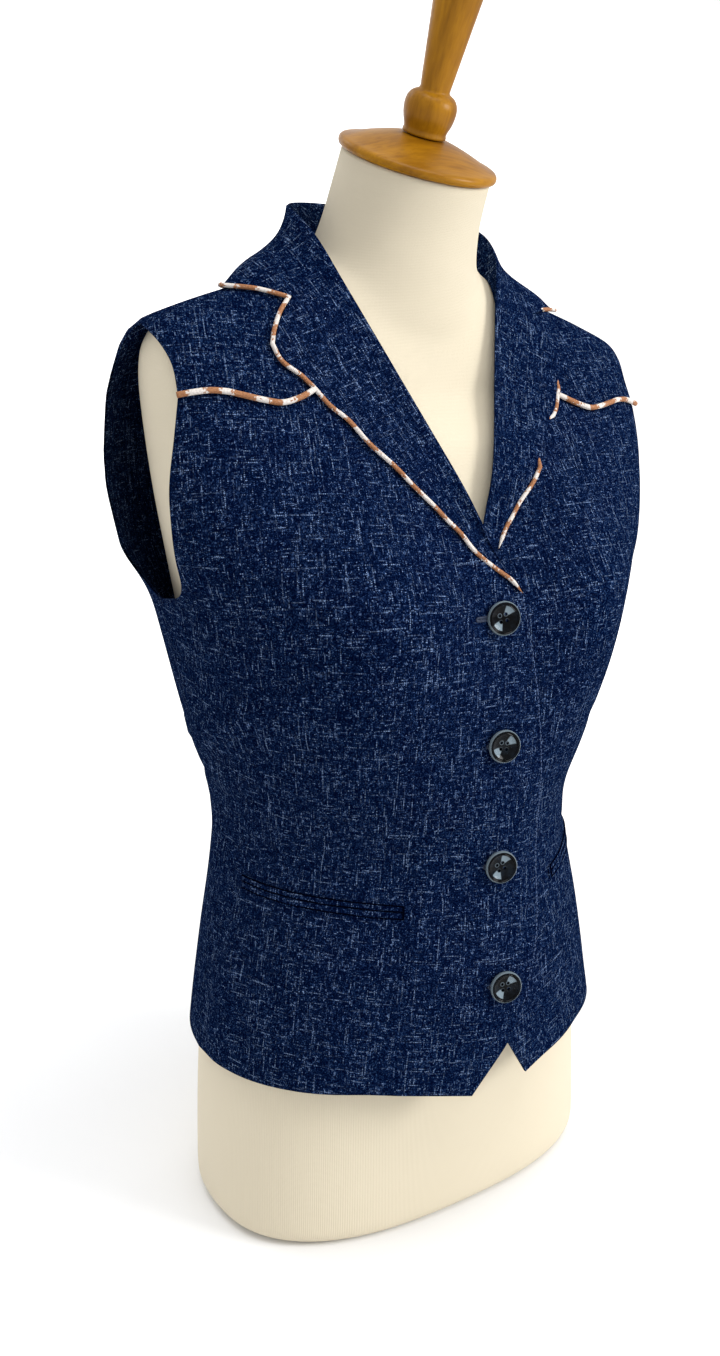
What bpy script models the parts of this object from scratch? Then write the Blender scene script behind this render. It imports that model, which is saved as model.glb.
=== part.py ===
"""Western vest, buttoned, on a limbless dress form that stands on its flat base.

Metres, +Z up. The wearer faces -Y, so the wearer's left is +X. The origin is on the floor under
the form. Every piece of the vest is cut on one guide surface, the torso's rings plus the cloth's
ease, and is moved out from it by the layers that lie underneath. A paired piece is worked out for
the wearer's left, and the right one is its mirror image.
"""

import math

import bmesh
import bpy
import numpy as np
from mathutils import Matrix, Vector
from mathutils.bvhtree import BVHTree

WALL = 0.0016
SEAM_GAP = 0.0004
LAYER_GAP = 0.0008
LEAF_LIFT = WALL + LAYER_GAP

# Rings of the torso, from the base to the top of the neck. level is the height at the side;
# front_z and back_z are the heights of the same ring at centre front and centre back, and tilt
# says how fast it turns to them. front and back are its depths from y_mid. The ease columns are
# the cloth's distance from the form, and stand is how much further it stands off at centre front.
TORSO_COLUMNS = ("level", "front_z", "back_z", "tilt", "half_width", "y_mid", "front", "back",
                 "power", "ease_front", "ease_side", "ease_back", "stand")
TORSO_RINGS = (
    (0.000, 0.000, 0.000, 2.0, 0.160, 0.003, 0.101, 0.099, 2.5, 0.024, 0.006, 0.016, 0.006),
    (0.060, 0.060, 0.060, 2.0, 0.158, 0.003, 0.103, 0.104, 2.4, 0.022, 0.006, 0.015, 0.008),
    (0.120, 0.120, 0.120, 2.0, 0.154, 0.003, 0.106, 0.110, 2.3, 0.020, 0.005, 0.010, 0.011),
    (0.200, 0.200, 0.200, 2.0, 0.143, 0.003, 0.104, 0.104, 2.2, 0.014, 0.006, 0.009, 0.017),
    (0.290, 0.290, 0.290, 2.0, 0.127, 0.003, 0.095, 0.092, 2.0, 0.011, 0.012, 0.014, 0.021),
    (0.340, 0.340, 0.340, 2.0, 0.136, 0.003, 0.102, 0.094, 2.3, 0.012, 0.012, 0.010, 0.013),
    (0.390, 0.390, 0.390, 2.0, 0.147, 0.003, 0.109, 0.098, 2.5, 0.010, 0.012, 0.008, 0.006),
    (0.450, 0.447, 0.450, 2.0, 0.158, 0.002, 0.110, 0.104, 2.7, 0.009, 0.014, 0.004, 0.001),
    (0.490, 0.480, 0.490, 2.0, 0.163, 0.001, 0.094, 0.107, 2.9, 0.012, 0.030, 0.004, 0.000),
    (0.520, 0.505, 0.520, 2.0, 0.168, 0.000, 0.086, 0.108, 3.0, 0.009, 0.031, 0.005, 0.000),
    (0.575, 0.548, 0.573, 2.0, 0.176, -0.004, 0.070, 0.106, 3.0, 0.0034, 0.022, 0.0040, 0.000),
    (0.608, 0.572, 0.606, 2.0, 0.180, -0.007, 0.053, 0.098, 2.7, 0.0026, 0.012, 0.0034, 0.000),
    (0.621, 0.584, 0.622, 2.0, 0.177, -0.009, 0.044, 0.088, 2.4, 0.0024, 0.010, 0.0030, 0.000),
    (0.634, 0.595, 0.638, 2.0, 0.152, -0.008, 0.042, 0.078, 2.2, 0.0024, 0.005, 0.0028, 0.000),
    (0.648, 0.606, 0.655, 1.9, 0.112, -0.006, 0.041, 0.068, 2.0, 0.0022, 0.0036, 0.0026, 0.000),
    (0.660, 0.616, 0.673, 1.8, 0.082, -0.004, 0.041, 0.060, 2.0, 0.0020, 0.0026, 0.0022, 0.000),
    (0.672, 0.629, 0.692, 1.6, 0.062, -0.003, 0.044, 0.052, 2.0, 0.0018, 0.0020, 0.0018, 0.000),
    (0.696, 0.674, 0.718, 1.2, 0.0530, -0.010, 0.0460, 0.0480, 2.0, 0.0012, 0.0012, 0.0012, 0.000),
    (0.7278, 0.7052, 0.7504, 1.0, 0.0500, -0.0258, 0.0446, 0.0446, 2.0, 0.0012, 0.0012, 0.0012, 0.000),
)

# Each side of the chest rises by this much more over the bust, in a soft bell.
BUST_RISE = 0.022
BUST_X = 0.086
BUST_Z = 0.440
BUST_HALF_WIDTH = 0.052
BUST_HALF_HEIGHT = 0.070
STAND_HALF_WIDTH = 0.062

# Soft folds drawn in by the waist, the same on both sides. Columns: start_angle, start_level,
# end_angle, end_level, depth, half_width. A negative depth is a trough. ARC is the cloth's width
# for each degree round the waist, and FOLD_FADE is the share of its depth that a fold loses.
FOLDS = (
    (94, 0.322, 44, 0.366, -0.0036, 0.011),
    (93, 0.342, 58, 0.392, 0.0022, 0.011),
    (92, 0.298, 52, 0.320, -0.0026, 0.010),
    (96, 0.320, 140, 0.344, -0.0032, 0.011),
    (98, 0.296, 152, 0.298, -0.0026, 0.010),
    (32, 0.140, 38, 0.215, -0.0020, 0.014),
    (158, 0.150, 150, 0.235, -0.0024, 0.014),
)
ARC = 0.0024
FOLD_FADE = 0.6

# The form's rings are closer together on the shoulders, where it bends most. Columns: first
# level, last level, rings.
FORM_SIDES = 36
FOOT_ROUNDING = 0.012
FOOT_TURNS = (0, 30, 60)
FORM_LEVELS = ((FOOT_ROUNDING, 0.5550, 16), (0.5700, 0.6900, 19), (0.6980, 0.7278, 4))
NECK_TOP_LEVEL = 0.7278
NECK_TOP_CENTRE = (0.0, -0.0258, 0.7278)
NECK_TILT = math.radians(26.9)

SIDE_SEAM_ANGLE = 93.0
UNDERARM_LEVEL = 0.452
SIDE_HEM_LEVEL = 0.126
BACK_HEM_LEVEL = 0.134
BACK_HEM_ANGLES = (93, 140)
SHOULDER_ANGLE = 90.0

# Rows and columns of points in the panels: up the side seam, up an armhole, across a half panel.
SIDE_ROWS = 18
ARM_ROWS = 12
BACK_ARM_ROWS = 15
SEAM_COLUMNS = 13
YOKE_ROWS = 9
BACK_HALF_COLUMNS = 11
BACK_NECK_COLUMNS = 4
WELT_COLUMNS = 11

# The armhole as (angle, level) on the guide surface: from the underarm up the front to the yoke
# seam, from there to the tip of the shoulder, and from the underarm up the back to the tip.
ARMHOLE_FRONT = ((93, 0.452), (84, 0.457), (76, 0.473), (71, 0.500), (68, 0.524), (64, 0.554), (62, 0.583))
ARMHOLE_YOKE = ((62, 0.583), (65, 0.600), (73, 0.612), (90, 0.6205))
ARMHOLE_BACK = ((93, 0.452), (102, 0.458), (110, 0.475), (115, 0.502), (117, 0.535), (115, 0.570),
                (110, 0.598), (101, 0.614), (90, 0.6205))
SHOULDER_SEAM = ((90, 0.6205), (90, 0.634), (90, 0.648), (90, 0.6665))

# Places on the front are (across, height): the distance from the centre towards the piece's own
# side, so that a negative one lies past the centre, and the height.
FRONT_EDGE = ((0.0240, 0.1190), (0.0103, 0.1364), (0.0020, 0.1443), (-0.0049, 0.1510), (-0.0165, 0.1654),
              (-0.0245, 0.1850), (-0.0395, 0.2300), (-0.0460, 0.3000), (-0.0350, 0.3600), (-0.0235, 0.4250),
              (-0.0180, 0.4550))
UNDER_EDGE = ((0.0240, 0.1190), (0.0189, 0.1277), (0.0136, 0.1367), (0.0087, 0.1445), (0.0049, 0.1510),
              (-0.0010, 0.1600), (-0.0140, 0.1850), (-0.0180, 0.2100), (-0.0180, 0.3000), (-0.0180, 0.4550))
HEM = ((93, 0.126), (75, 0.1275), (55, 0.1290), (38, 0.1290), (22, 0.1262), (13, 0.1228), (6.7, 0.1190))
YOKE_DIPS = ((0.1540, 0.5780), (0.1260, 0.5720), (0.1040, 0.5775), (0.0760, 0.5900))

# The collar and lapel, from the break round to centre back: its crest, which is the roll line, in
# space, then its outer edge and its neck seam as (across, height) on the front. Columns: crest_x,
# crest_y, crest_z, edge_x, edge_z, seam_x, seam_z.
LAPEL_ROWS = (
    (-0.0172, -0.1165, 0.4600, -0.0178, 0.4560, -0.0150, 0.4570),
    (-0.0085, -0.1120, 0.4740, -0.0020, 0.4715, -0.0010, 0.4720),
    (0.0030, -0.1060, 0.4995, 0.0198, 0.4940, 0.0100, 0.4975),
    (0.0105, -0.0985, 0.5200, 0.0357, 0.5110, 0.0175, 0.5175),
    (0.0222, -0.0840, 0.5500, 0.0573, 0.5350, 0.0290, 0.5475),
    (0.0339, -0.0690, 0.5800, 0.0807, 0.5620, 0.0410, 0.5775),
    (0.0447, -0.0550, 0.6080, 0.0977, 0.5820, 0.0515, 0.6050),
    (0.0494, -0.0490, 0.6200, 0.1035, 0.5895, 0.0560, 0.6175),
    (0.0576, -0.0385, 0.6410, 0.1174, 0.6070, 0.0605, 0.6320),
    (0.0600, -0.0355, 0.6470, 0.1140, 0.6150, 0.0615, 0.6360),
    (0.0638, -0.0305, 0.6570, 0.0960, 0.6370, 0.0635, 0.6430),
)
# The same on the shoulder and back, where edge and seam are (angle, level). Columns: crest_x,
# crest_y, crest_z, edge_angle, edge_level, seam_angle, seam_level.
COLLAR_ROWS = (
    (0.0716, -0.0205, 0.6770, 85, 0.6425, 68, 0.6660),
    (0.0765, 0.0030, 0.6970, 97, 0.6440, 92, 0.6680),
    (0.0680, 0.0250, 0.7050, 113, 0.6460, 115, 0.6680),
    (0.0530, 0.0420, 0.7105, 131, 0.6480, 137, 0.6680),
    (0.0300, 0.0540, 0.7145, 155, 0.6500, 159, 0.6680),
    (0.0000, 0.0590, 0.7160, 180, 0.6510, 180, 0.6680),
)
# Where the stations stand, counted in rows of the two tables.
STATIONS = (0, 0.5, 1, 1.5, 2, 2.5, 3, 3.5, 4, 4.5, 5, 5.5, 6, 6.5, 7, 7.5, 8, 9, 9.5, 10,
            10.5, 11, 11.5, 12, 12.5, 13, 13.5, 14, 14.5, 15, 15.5, 16)
LEFT_LAPEL_START = 1.5
YOKE_STATION = 5.8
SHOULDER_STATION = 12
LEAF_STEPS = (0.22, 0.42, 0.62, 0.81, 1.0)

# The leaf lies flat on the front where the crest is lower than the first OPEN_HEIGHTS, and stands
# free above the second, where its roll is ROLL_RADIUS. A free leaf leaves the straight line from
# crest to edge by these heights at its steps: the lapel sags, and the collar over the shoulder
# falls steeply and then spreads. The change is between WAVE_STATIONS.
OPEN_HEIGHTS = (0.004, 0.015)
ROLL_RADIUS = 0.00128
LAPEL_WAVE = (-0.0055, -0.0078, -0.0075, -0.0049, 0.0)
SHOULDER_WAVE = (-0.0052, -0.0046, -0.0008, 0.0014, 0.0)
WAVE_STATIONS = (8.5, 11)
LEAF_RISE = 0.010
FOLD_DEPTH = 0.00077
STAND_BEND = 0.55

# The panels end this far outside the neck seam: by an angle on the chest, by a level on the shoulder.
NECKLINE_TURN = 0.55
NECKLINE_DROP = 0.0018
NECKLINE_STATIONS = (5, 9)

# The left side sinks behind the right one by OVERLAP_SINK, and by LAPEL_SINK more where its lapel
# passes under. Each pair of places says where such a change starts and ends.
OVERLAP_SINK = 0.0034
LAPEL_SINK = 0.0036
SINK_END_X = (0.044, 0.070)
SINK_END_Z = (0.505, 0.540)
CROSSING_START_Z = (0.435, 0.460)
CROSSING_END_Z = (0.500, 0.535)

PIPING_RADIUS = 0.0018
PIPING_SIDES = 6
MITRE_LIMIT = 0.65
YOKE_PIPING_END = 0.1065
YOKE_PIPING_RINGS = 15
PATH_SAMPLES = 60

BUTTON_HEIGHTS = (0.442, 0.3595, 0.2770, 0.1945)
BUTTON_PROFILE = ((0.0, 0.0), (0.0075, 0.0), (0.0105, 0.0012), (0.0110, 0.0028), (0.0104, 0.0042),
                  (0.0092, 0.0046), (0.0080, 0.0036), (0.0062, 0.0030), (0.0, 0.0030))
BUTTON_SIDES = 18
# The buttonholes pull the buttons round, so each leans this far towards the wearer's right.
BUTTON_LEAN = math.radians(14)
# A button is laid on the front by rays in circles, the first at this share of its radius.
SEAT_RAYS = 16
SEAT_SHARE = 0.7

WELT_OUTER = (77, 0.2605)
WELT_INNER = (25, 0.2500)
WELT_HEIGHT = 0.0042
WELT_GAP = 0.0005
WELT_WALL = 0.0010
WELT_LIFT = WALL + 0.0005

CAP_PROFILE = ((0.0, 0.0), (0.0500, 0.0), (0.0524, 0.0008), (0.0530, 0.0022), (0.0528, 0.0040),
               (0.0515, 0.0054), (0.0485, 0.0064), (0.0380, 0.0100), (0.0260, 0.0140), (0.0170, 0.0160),
               (0.0, 0.0164))
CAP_SIDES = 32
FINIAL_PROFILE = ((0.0, 0.0), (0.0138, 0.0), (0.0144, 0.0008), (0.0144, 0.0020), (0.0140, 0.0028),
                  (0.0150, 0.0062), (0.0164, 0.0104), (0.0171, 0.0158), (0.0162, 0.0205), (0.0132, 0.0240),
                  (0.0100, 0.0260), (0.0098, 0.0275), (0.0112, 0.0415), (0.0135, 0.0635), (0.0160, 0.0865),
                  (0.0175, 0.1045), (0.0176, 0.1135), (0.0160, 0.1225), (0.0115, 0.1285), (0.0, 0.1305))
FINIAL_SIDES = 20

CLOTH = {"colour": (0.012, 0.020, 0.055), "roughness": 0.85, "metallic": 0.0}
JERSEY = {"colour": (0.80, 0.74, 0.62), "roughness": 0.80, "metallic": 0.0}
WOOD = {"colour": (0.36, 0.13, 0.03), "roughness": 0.35, "metallic": 0.0}
PIPING = {"colour": (0.62, 0.42, 0.28), "roughness": 0.75, "metallic": 0.0}
BUTTON = {"colour": (0.010, 0.012, 0.016), "roughness": 0.15, "metallic": 0.0}


def slopes_of(at, values):
    """Slopes for a curve through the values that doesn't overshoot them."""
    steps = np.diff(at)
    rises = np.diff(values) / steps
    slopes = np.zeros(len(values))
    slopes[0], slopes[-1] = rises[0], rises[-1]
    for k in range(1, len(values) - 1):
        if rises[k - 1] * rises[k] > 0:
            low, high = 2 * steps[k] + steps[k - 1], steps[k] + 2 * steps[k - 1]
            slopes[k] = (low + high) / (low / rises[k - 1] + high / rises[k])
    return slopes


class Curve:
    """A smooth curve through values at given places."""

    def __init__(self, at, values):
        self.at = np.array(at, float)
        self.values = np.array(values, float)
        self.slopes = slopes_of(self.at, self.values)

    def __call__(self, where):
        where = np.clip(where, self.at[0], self.at[-1])
        k = np.clip(np.searchsorted(self.at, where, side="right") - 1, 0, len(self.at) - 2)
        step = self.at[k + 1] - self.at[k]
        f = (where - self.at[k]) / step
        start = (1 + 2 * f) * (1 - f) ** 2 * self.values[k] + f * (1 - f) ** 2 * step * self.slopes[k]
        end = f ** 2 * (3 - 2 * f) * self.values[k + 1] + f ** 2 * (f - 1) * step * self.slopes[k + 1]
        return start + end


TORSO = {
    name: Curve(column[0], column[1])
    for name, column in (
        (name, (np.array(TORSO_RINGS)[:, 0], np.array(TORSO_RINGS)[:, k]))
        for k, name in enumerate(TORSO_COLUMNS)
        if k
    )
}


def soft_step(value, start, end):
    share = np.clip((value - start) / (end - start), 0, 1)
    return share * share * (3 - 2 * share)


def fold_height(angle, level):
    """How far the folds move the cloth outwards at each place."""
    angle = np.abs((angle + 180) % 360 - 180)
    height = np.zeros(angle.shape)
    for start_angle, start_level, end_angle, end_level, depth, half_width in FOLDS:
        along = np.array([(end_angle - start_angle) * ARC, end_level - start_level])
        from_start = np.stack([(angle - start_angle) * ARC, level - start_level], -1)
        share = np.clip(from_start @ along / (along @ along), 0, 1)
        away = np.linalg.norm(from_start - share[..., None] * along, axis=-1)
        height += depth * np.exp(-(away / half_width) ** 2) * (1 - FOLD_FADE * share)
    return height


def torso_point(angle, level, ease=0.0):
    """A point on the ring at this level. angle is 0 at centre front and 90 degrees at the left side."""
    angle, level = np.broadcast_arrays(np.radians(angle), np.asarray(level, float))
    ring = {name: curve(level) for name, curve in TORSO.items()}
    side, ahead = np.sin(angle), np.cos(angle)
    front = ahead > 0
    depth = np.where(front, ring["front"] + ease * ring["ease_front"],
                     ring["back"] + ease * ring["ease_back"])
    width = ring["half_width"] + ease * ring["ease_side"]
    bend = 2 / ring["power"]
    x = width * np.sign(side) * np.abs(side) ** bend
    y = ring["y_mid"] - depth * np.sign(ahead) * np.abs(ahead) ** bend
    end_z = np.where(front, ring["front_z"], ring["back_z"])
    z = level + (end_z - level) * np.abs(ahead) ** ring["tilt"]
    bell = np.exp(-((np.abs(x) - BUST_X) / BUST_HALF_WIDTH) ** 2 - ((z - BUST_Z) / BUST_HALF_HEIGHT) ** 2)
    y = y - BUST_RISE * bell * np.clip(ahead, 0, 1) ** 0.5
    y = y - np.where(front, ease * ring["stand"] * np.exp(-(x / STAND_HALF_WIDTH) ** 2), 0)
    if ease:
        height = ease * fold_height(np.degrees(angle), level)
        x, y = x + side * height, y - ahead * height
    return np.stack([x, y, z], -1)


def guide(angle, level):
    """Points and outward normals of the surface that the vest's inner side follows."""
    angle, level = np.broadcast_arrays(np.asarray(angle, float), np.asarray(level, float))
    turn, rise = 0.3, 0.0008
    around = torso_point(angle + turn, level, 1.0) - torso_point(angle - turn, level, 1.0)
    upward = torso_point(angle, level + rise, 1.0) - torso_point(angle, level - rise, 1.0)
    normal = np.cross(around, upward)
    normal = normal / np.linalg.norm(normal, axis=-1, keepdims=True)
    return torso_point(angle, level, 1.0), normal


def front_place(across, height):
    """The (angle, level) of the point of the front that lies this far across, at this height."""
    across, height = np.broadcast_arrays(np.asarray(across, float), np.asarray(height, float))
    low, high = np.zeros(across.shape), np.full(across.shape, NECK_TOP_LEVEL)
    for _ in range(45):
        level = (low + high) / 2
        width = TORSO["half_width"](level) + TORSO["ease_side"](level)
        share = np.clip(np.abs(across) / width, 0, 1)
        angle = np.arcsin(share ** (TORSO["power"](level) / 2))
        z = level + (TORSO["front_z"](level) - level) * np.cos(angle) ** TORSO["tilt"](level)
        low, high = np.where(z < height, level, low), np.where(z < height, high, level)
    return np.stack([np.degrees(angle) * np.sign(across), level], -1)


def path(places, count, linear=False):
    """Evenly spaced places along a curve, or straight runs, through (angle, level) places."""
    places = np.array(places, float)
    points = guide(places[:, 0], places[:, 1])[0]
    lengths = np.concatenate([[0], np.cumsum(np.linalg.norm(np.diff(points, axis=0), axis=1))])
    lengths /= lengths[-1]
    where = np.linspace(0, 1, count)
    if linear:
        return np.stack([np.interp(where, lengths, places[:, k]) for k in (0, 1)], -1)
    return np.stack([Curve(lengths, places[:, k])(where) for k in (0, 1)], -1)


def coons(side, edge, bottom, top):
    """A grid of places between four borders: side and edge run upwards, bottom and top from side to edge."""
    v = ((side[:, 1] - side[0, 1]) / (side[-1, 1] - side[0, 1]))[:, None, None]
    u = np.linspace(0, 1, len(bottom))[None, :, None]
    across = (1 - v) * bottom[None] + v * top[None]
    along = (1 - u) * side[:, None] + u * edge[:, None]
    corners = (1 - u) * (1 - v) * side[0] + u * (1 - v) * edge[0] + (1 - u) * v * side[-1] + u * v * edge[-1]
    return across + along - corners


def add_material(name, look):
    material = bpy.data.materials.new(name)
    material.use_nodes = True
    shader = material.node_tree.nodes["Principled BSDF"]
    shader.inputs["Base Color"].default_value = (*look["colour"], 1)
    shader.inputs["Roughness"].default_value = look["roughness"]
    shader.inputs["Metallic"].default_value = look["metallic"]
    material.diffuse_color = (*look["colour"], 1)
    return material


def add_object(name, vertices, faces, look, mirrored=False):
    vertices = np.array(vertices, float)
    if mirrored:
        vertices = vertices * (-1, 1, 1)
    mesh = bpy.data.meshes.new(name)
    mesh.from_pydata([tuple(v) for v in vertices], [], faces)
    shape = bmesh.new()
    shape.from_mesh(mesh)
    bmesh.ops.recalc_face_normals(shape, faces=shape.faces[:])
    shape.to_mesh(mesh)
    shape.free()
    mesh.materials.append(add_material(name, look))
    mesh.shade_smooth()
    mesh.set_sharp_from_angle(angle=math.radians(40))
    item = bpy.data.objects.new(name, mesh)
    bpy.context.scene.collection.objects.link(item)
    return item


def sink_left(points):
    """Moves points of the left side back, where the right front and lapel lie over them."""
    under = 1 - soft_step(points[..., 0], *SINK_END_X)
    under = under * (1 - soft_step(points[..., 2], *SINK_END_Z))
    crossing = soft_step(points[..., 2], *CROSSING_START_Z) * (1 - soft_step(points[..., 2], *CROSSING_END_Z))
    moved = points.copy()
    moved[..., 1] += under * (OVERLAP_SINK + LAPEL_SINK * crossing)
    return moved


def wall_between(inner, outer):
    """Vertices and faces of a closed wall between two grids of points of the same shape."""
    rows, columns = inner.shape[:2]
    vertices = np.concatenate([inner.reshape(-1, 3), outer.reshape(-1, 3)])
    half = rows * columns

    def at(i, j, layer):
        return layer * half + i * columns + j

    faces = []
    for i in range(rows - 1):
        for j in range(columns - 1):
            faces.append((at(i, j, 1), at(i, j + 1, 1), at(i + 1, j + 1, 1), at(i + 1, j, 1)))
            faces.append((at(i, j, 0), at(i + 1, j, 0), at(i + 1, j + 1, 0), at(i, j + 1, 0)))
    for j in range(columns - 1):
        faces.append((at(0, j, 0), at(0, j + 1, 0), at(0, j + 1, 1), at(0, j, 1)))
        last = rows - 1
        faces.append((at(last, j + 1, 0), at(last, j, 0), at(last, j, 1), at(last, j + 1, 1)))
    for i in range(rows - 1):
        faces.append((at(i + 1, 0, 0), at(i, 0, 0), at(i, 0, 1), at(i + 1, 0, 1)))
        last = columns - 1
        faces.append((at(i, last, 0), at(i + 1, last, 0), at(i + 1, last, 1), at(i, last, 1)))
    return vertices, faces


def pull_in(places, gap):
    """Draws the border of a grid of points in by half a seam's gap."""
    moved = places.copy()
    for axis in (0, 1):
        grid = np.moveaxis(moved, axis, 0)
        for edge, inner in ((0, 1), (-1, -2)):
            inward = grid[inner] - grid[edge]
            length = np.linalg.norm(inward, axis=-1, keepdims=True)
            grid[edge] += inward / length * np.minimum(gap / 2, length / 4)
    return moved


def make_panel(name, places, side, lift=0.0, wall=WALL, gap=SEAM_GAP, look=CLOTH):
    """A piece of cloth over a grid of (angle, level) places. side is left, right or whole."""
    points, normals = guide(places[..., 0], places[..., 1])
    inner = pull_in(points + normals * lift, gap)
    outer = pull_in(points + normals * (lift + wall), gap)
    if side == "left":
        inner, outer = sink_left(inner), sink_left(outer)
    vertices, faces = wall_between(inner, outer)
    return add_object(name, vertices, faces, look, mirrored=side == "right")


def collar_tables():
    """Rows of both collar tables with edge and seam as (angle, level)."""
    lapel = np.array(LAPEL_ROWS, float)
    collar = np.array(COLLAR_ROWS, float)
    crest = np.concatenate([lapel[:, :3], collar[:, :3]])
    edge = np.concatenate([front_place(lapel[:, 3], lapel[:, 4]), collar[:, 3:5]])
    seam = np.concatenate([front_place(lapel[:, 5], lapel[:, 6]), collar[:, 5:7]])
    return crest, edge, seam


CREST, EDGE, SEAM = collar_tables()
ROWS = np.arange(len(CREST))


def seam_places(stations):
    return np.stack([Curve(ROWS, SEAM[:, k])(stations) for k in (0, 1)], -1)


def panel_neckline(stations):
    """Where the panels end beside the collar's neck seam, a wall's thickness further out at the neck."""
    places = seam_places(stations)
    shoulder = soft_step(stations, *NECKLINE_STATIONS)
    places[:, 0] += NECKLINE_TURN * (1 - shoulder)
    places[:, 1] -= NECKLINE_DROP * shoulder
    return places


def side_seam():
    levels = np.linspace(SIDE_HEM_LEVEL, UNDERARM_LEVEL, SIDE_ROWS)
    return np.stack([np.full(SIDE_ROWS, SIDE_SEAM_ANGLE), levels], -1)


def yoke_seam():
    inner = panel_neckline(np.array([YOKE_STATION]))
    dips = front_place([x for x, _ in YOKE_DIPS], [z for _, z in YOKE_DIPS])
    return np.concatenate([[ARMHOLE_YOKE[0]], dips, inner])


def make_front(name, side, edge_places):
    side_high = path(ARMHOLE_FRONT, ARM_ROWS + 1)[1:]
    edge = np.array(edge_places)
    edge_low = path(front_place(edge[:, 0], edge[:, 1]), SIDE_ROWS, linear=True)
    edge_low[0] = HEM[-1]
    edge_high = panel_neckline(np.linspace(0, YOKE_STATION, ARM_ROWS + 1)[1:])
    top = path(yoke_seam(), SEAM_COLUMNS)
    edge_high[-1] = top[-1]
    places = coons(np.concatenate([side_seam(), side_high]), np.concatenate([edge_low, edge_high]),
                   path(HEM, SEAM_COLUMNS), top)
    return make_panel(name, places, side)


def make_yoke(name, side):
    neck = panel_neckline(np.linspace(YOKE_STATION, SHOULDER_STATION, SEAM_COLUMNS - 1))
    neck[0], neck[-1] = yoke_seam()[-1], SHOULDER_SEAM[-1]
    places = coons(path(ARMHOLE_YOKE, YOKE_ROWS), path(neck, YOKE_ROWS), path(yoke_seam(), SEAM_COLUMNS),
                   path(SHOULDER_SEAM, SEAM_COLUMNS))
    make_panel(name, places, side)


def across_back(half):
    """A row of places from the left side to centre back, carried on to the right side."""
    return np.concatenate([half, half[-2::-1] * (-1, 1) + (360, 0)])


def make_back():
    left = np.concatenate([side_seam(), path(ARMHOLE_BACK, BACK_ARM_ROWS)[1:]])
    right = left * (-1, 1) + (360, 0)
    angles = np.linspace(SIDE_SEAM_ANGLE, 180, BACK_HALF_COLUMNS)
    rise = (BACK_HEM_LEVEL - SIDE_HEM_LEVEL) * soft_step(angles, *BACK_HEM_ANGLES)
    hem = np.stack([angles, SIDE_HEM_LEVEL + rise], -1)
    neck_angles = np.linspace(SHOULDER_ANGLE, 180, BACK_NECK_COLUMNS + 1)[1:]
    neck = np.stack([neck_angles, np.full(BACK_NECK_COLUMNS, SHOULDER_SEAM[-1][1])], -1)
    top = np.concatenate([path(SHOULDER_SEAM, BACK_HALF_COLUMNS - BACK_NECK_COLUMNS), neck])
    make_panel("back", coons(left, right, across_back(hem), across_back(top)), "whole")


def guide_tree():
    """The guide surface as a mesh that finds the nearest point."""
    angles, levels = np.meshgrid(np.arange(-20, 201, 2.0), np.linspace(0.40, 0.7270, 110))
    points = torso_point(angles, levels, 1.0)
    columns = points.shape[1]
    faces = [
        (i * columns + j, i * columns + j + 1, (i + 1) * columns + j + 1, (i + 1) * columns + j)
        for i in range(points.shape[0] - 1)
        for j in range(columns - 1)
    ]
    return BVHTree.FromPolygons([Vector(p) for p in points.reshape(-1, 3)], faces)


TREE = guide_tree()


def unit(vector):
    return vector / np.linalg.norm(vector)


def above(point, lift):
    """The point, moved out so that it is at least this far above the guide, with the guide's normal there."""
    near, normal, _, _ = TREE.find_nearest(Vector(point))
    near, normal = np.array(near), np.array(normal)
    if np.dot(normal[:2], near[:2]) < 0:
        normal = -normal
    height = np.dot(point - near, normal)
    if height < lift:
        point = point + normal * (lift - height)
        height = lift
    return point, normal, height


def across_from(vector, along):
    """The part of a vector that is square to another, at length 1."""
    return unit(vector - np.dot(vector, along) * along)


def collar_section(station):
    """The collar's closed outline at a station: from the neck seam over the crest to the edge and back."""
    crest = np.array([Curve(ROWS, CREST[:, k])(station) for k in range(3)])
    edge_angle, edge_level = (np.interp(station, ROWS, EDGE[:, k]) for k in (0, 1))
    seam = seam_places(np.array([station]))[0]
    edge_point, edge_normal = guide(edge_angle, edge_level)
    seam_point, seam_normal = guide(seam[0], seam[1])
    full = LEAF_LIFT + WALL
    edge_top = edge_point + edge_normal * full
    crest, crest_normal, crest_height = above(crest, full / 2)
    to_seam, to_edge = unit(seam_point - crest), unit(edge_top - crest)
    apex = -unit(to_seam + to_edge)
    over = across_from(crest_normal, apex)
    open_share = float(soft_step(crest_height, *OPEN_HEIGHTS))
    radius = full / 2 * (1 - open_share) + ROLL_RADIUS * open_share
    centre = crest - apex * radius
    stand = unit(crest - seam_point)
    stand_side = across_from(unit(edge_point - seam_point) + seam_normal, stand)
    leaf_normal = across_from(crest_normal + edge_normal, to_edge)
    spread = float(soft_step(station, *WAVE_STATIONS))
    tops, bottoms = [], []
    for step, sag, wave in zip(LEAF_STEPS, LAPEL_WAVE, SHOULDER_WAVE):
        rise = (sag * (1 - spread) + wave * spread) * open_share
        point = crest + (edge_top - crest) * step + leaf_normal * rise
        point, normal, height = above(point, full)
        near = 1 - float(soft_step(height, full, full + LEAF_RISE))
        facing = edge_normal if step == 1.0 else unit(leaf_normal * (1 - near) + normal * near)
        point = edge_top if step == 1.0 else point
        tops.append(point)
        bottoms.append(point - facing * WALL)
    seam_low = seam_point
    seam_high = seam_point + stand_side * WALL
    middle_low = seam_low + (centre - over * radius - seam_low) * STAND_BEND
    middle_high = middle_low + stand_side * WALL
    fold_inside = crest - apex * (radius + FOLD_DEPTH)
    return np.array([seam_low, middle_low, centre - over * radius, crest, centre + over * radius, *tops,
                     *reversed(bottoms), fold_inside, middle_high, seam_high])


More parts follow.
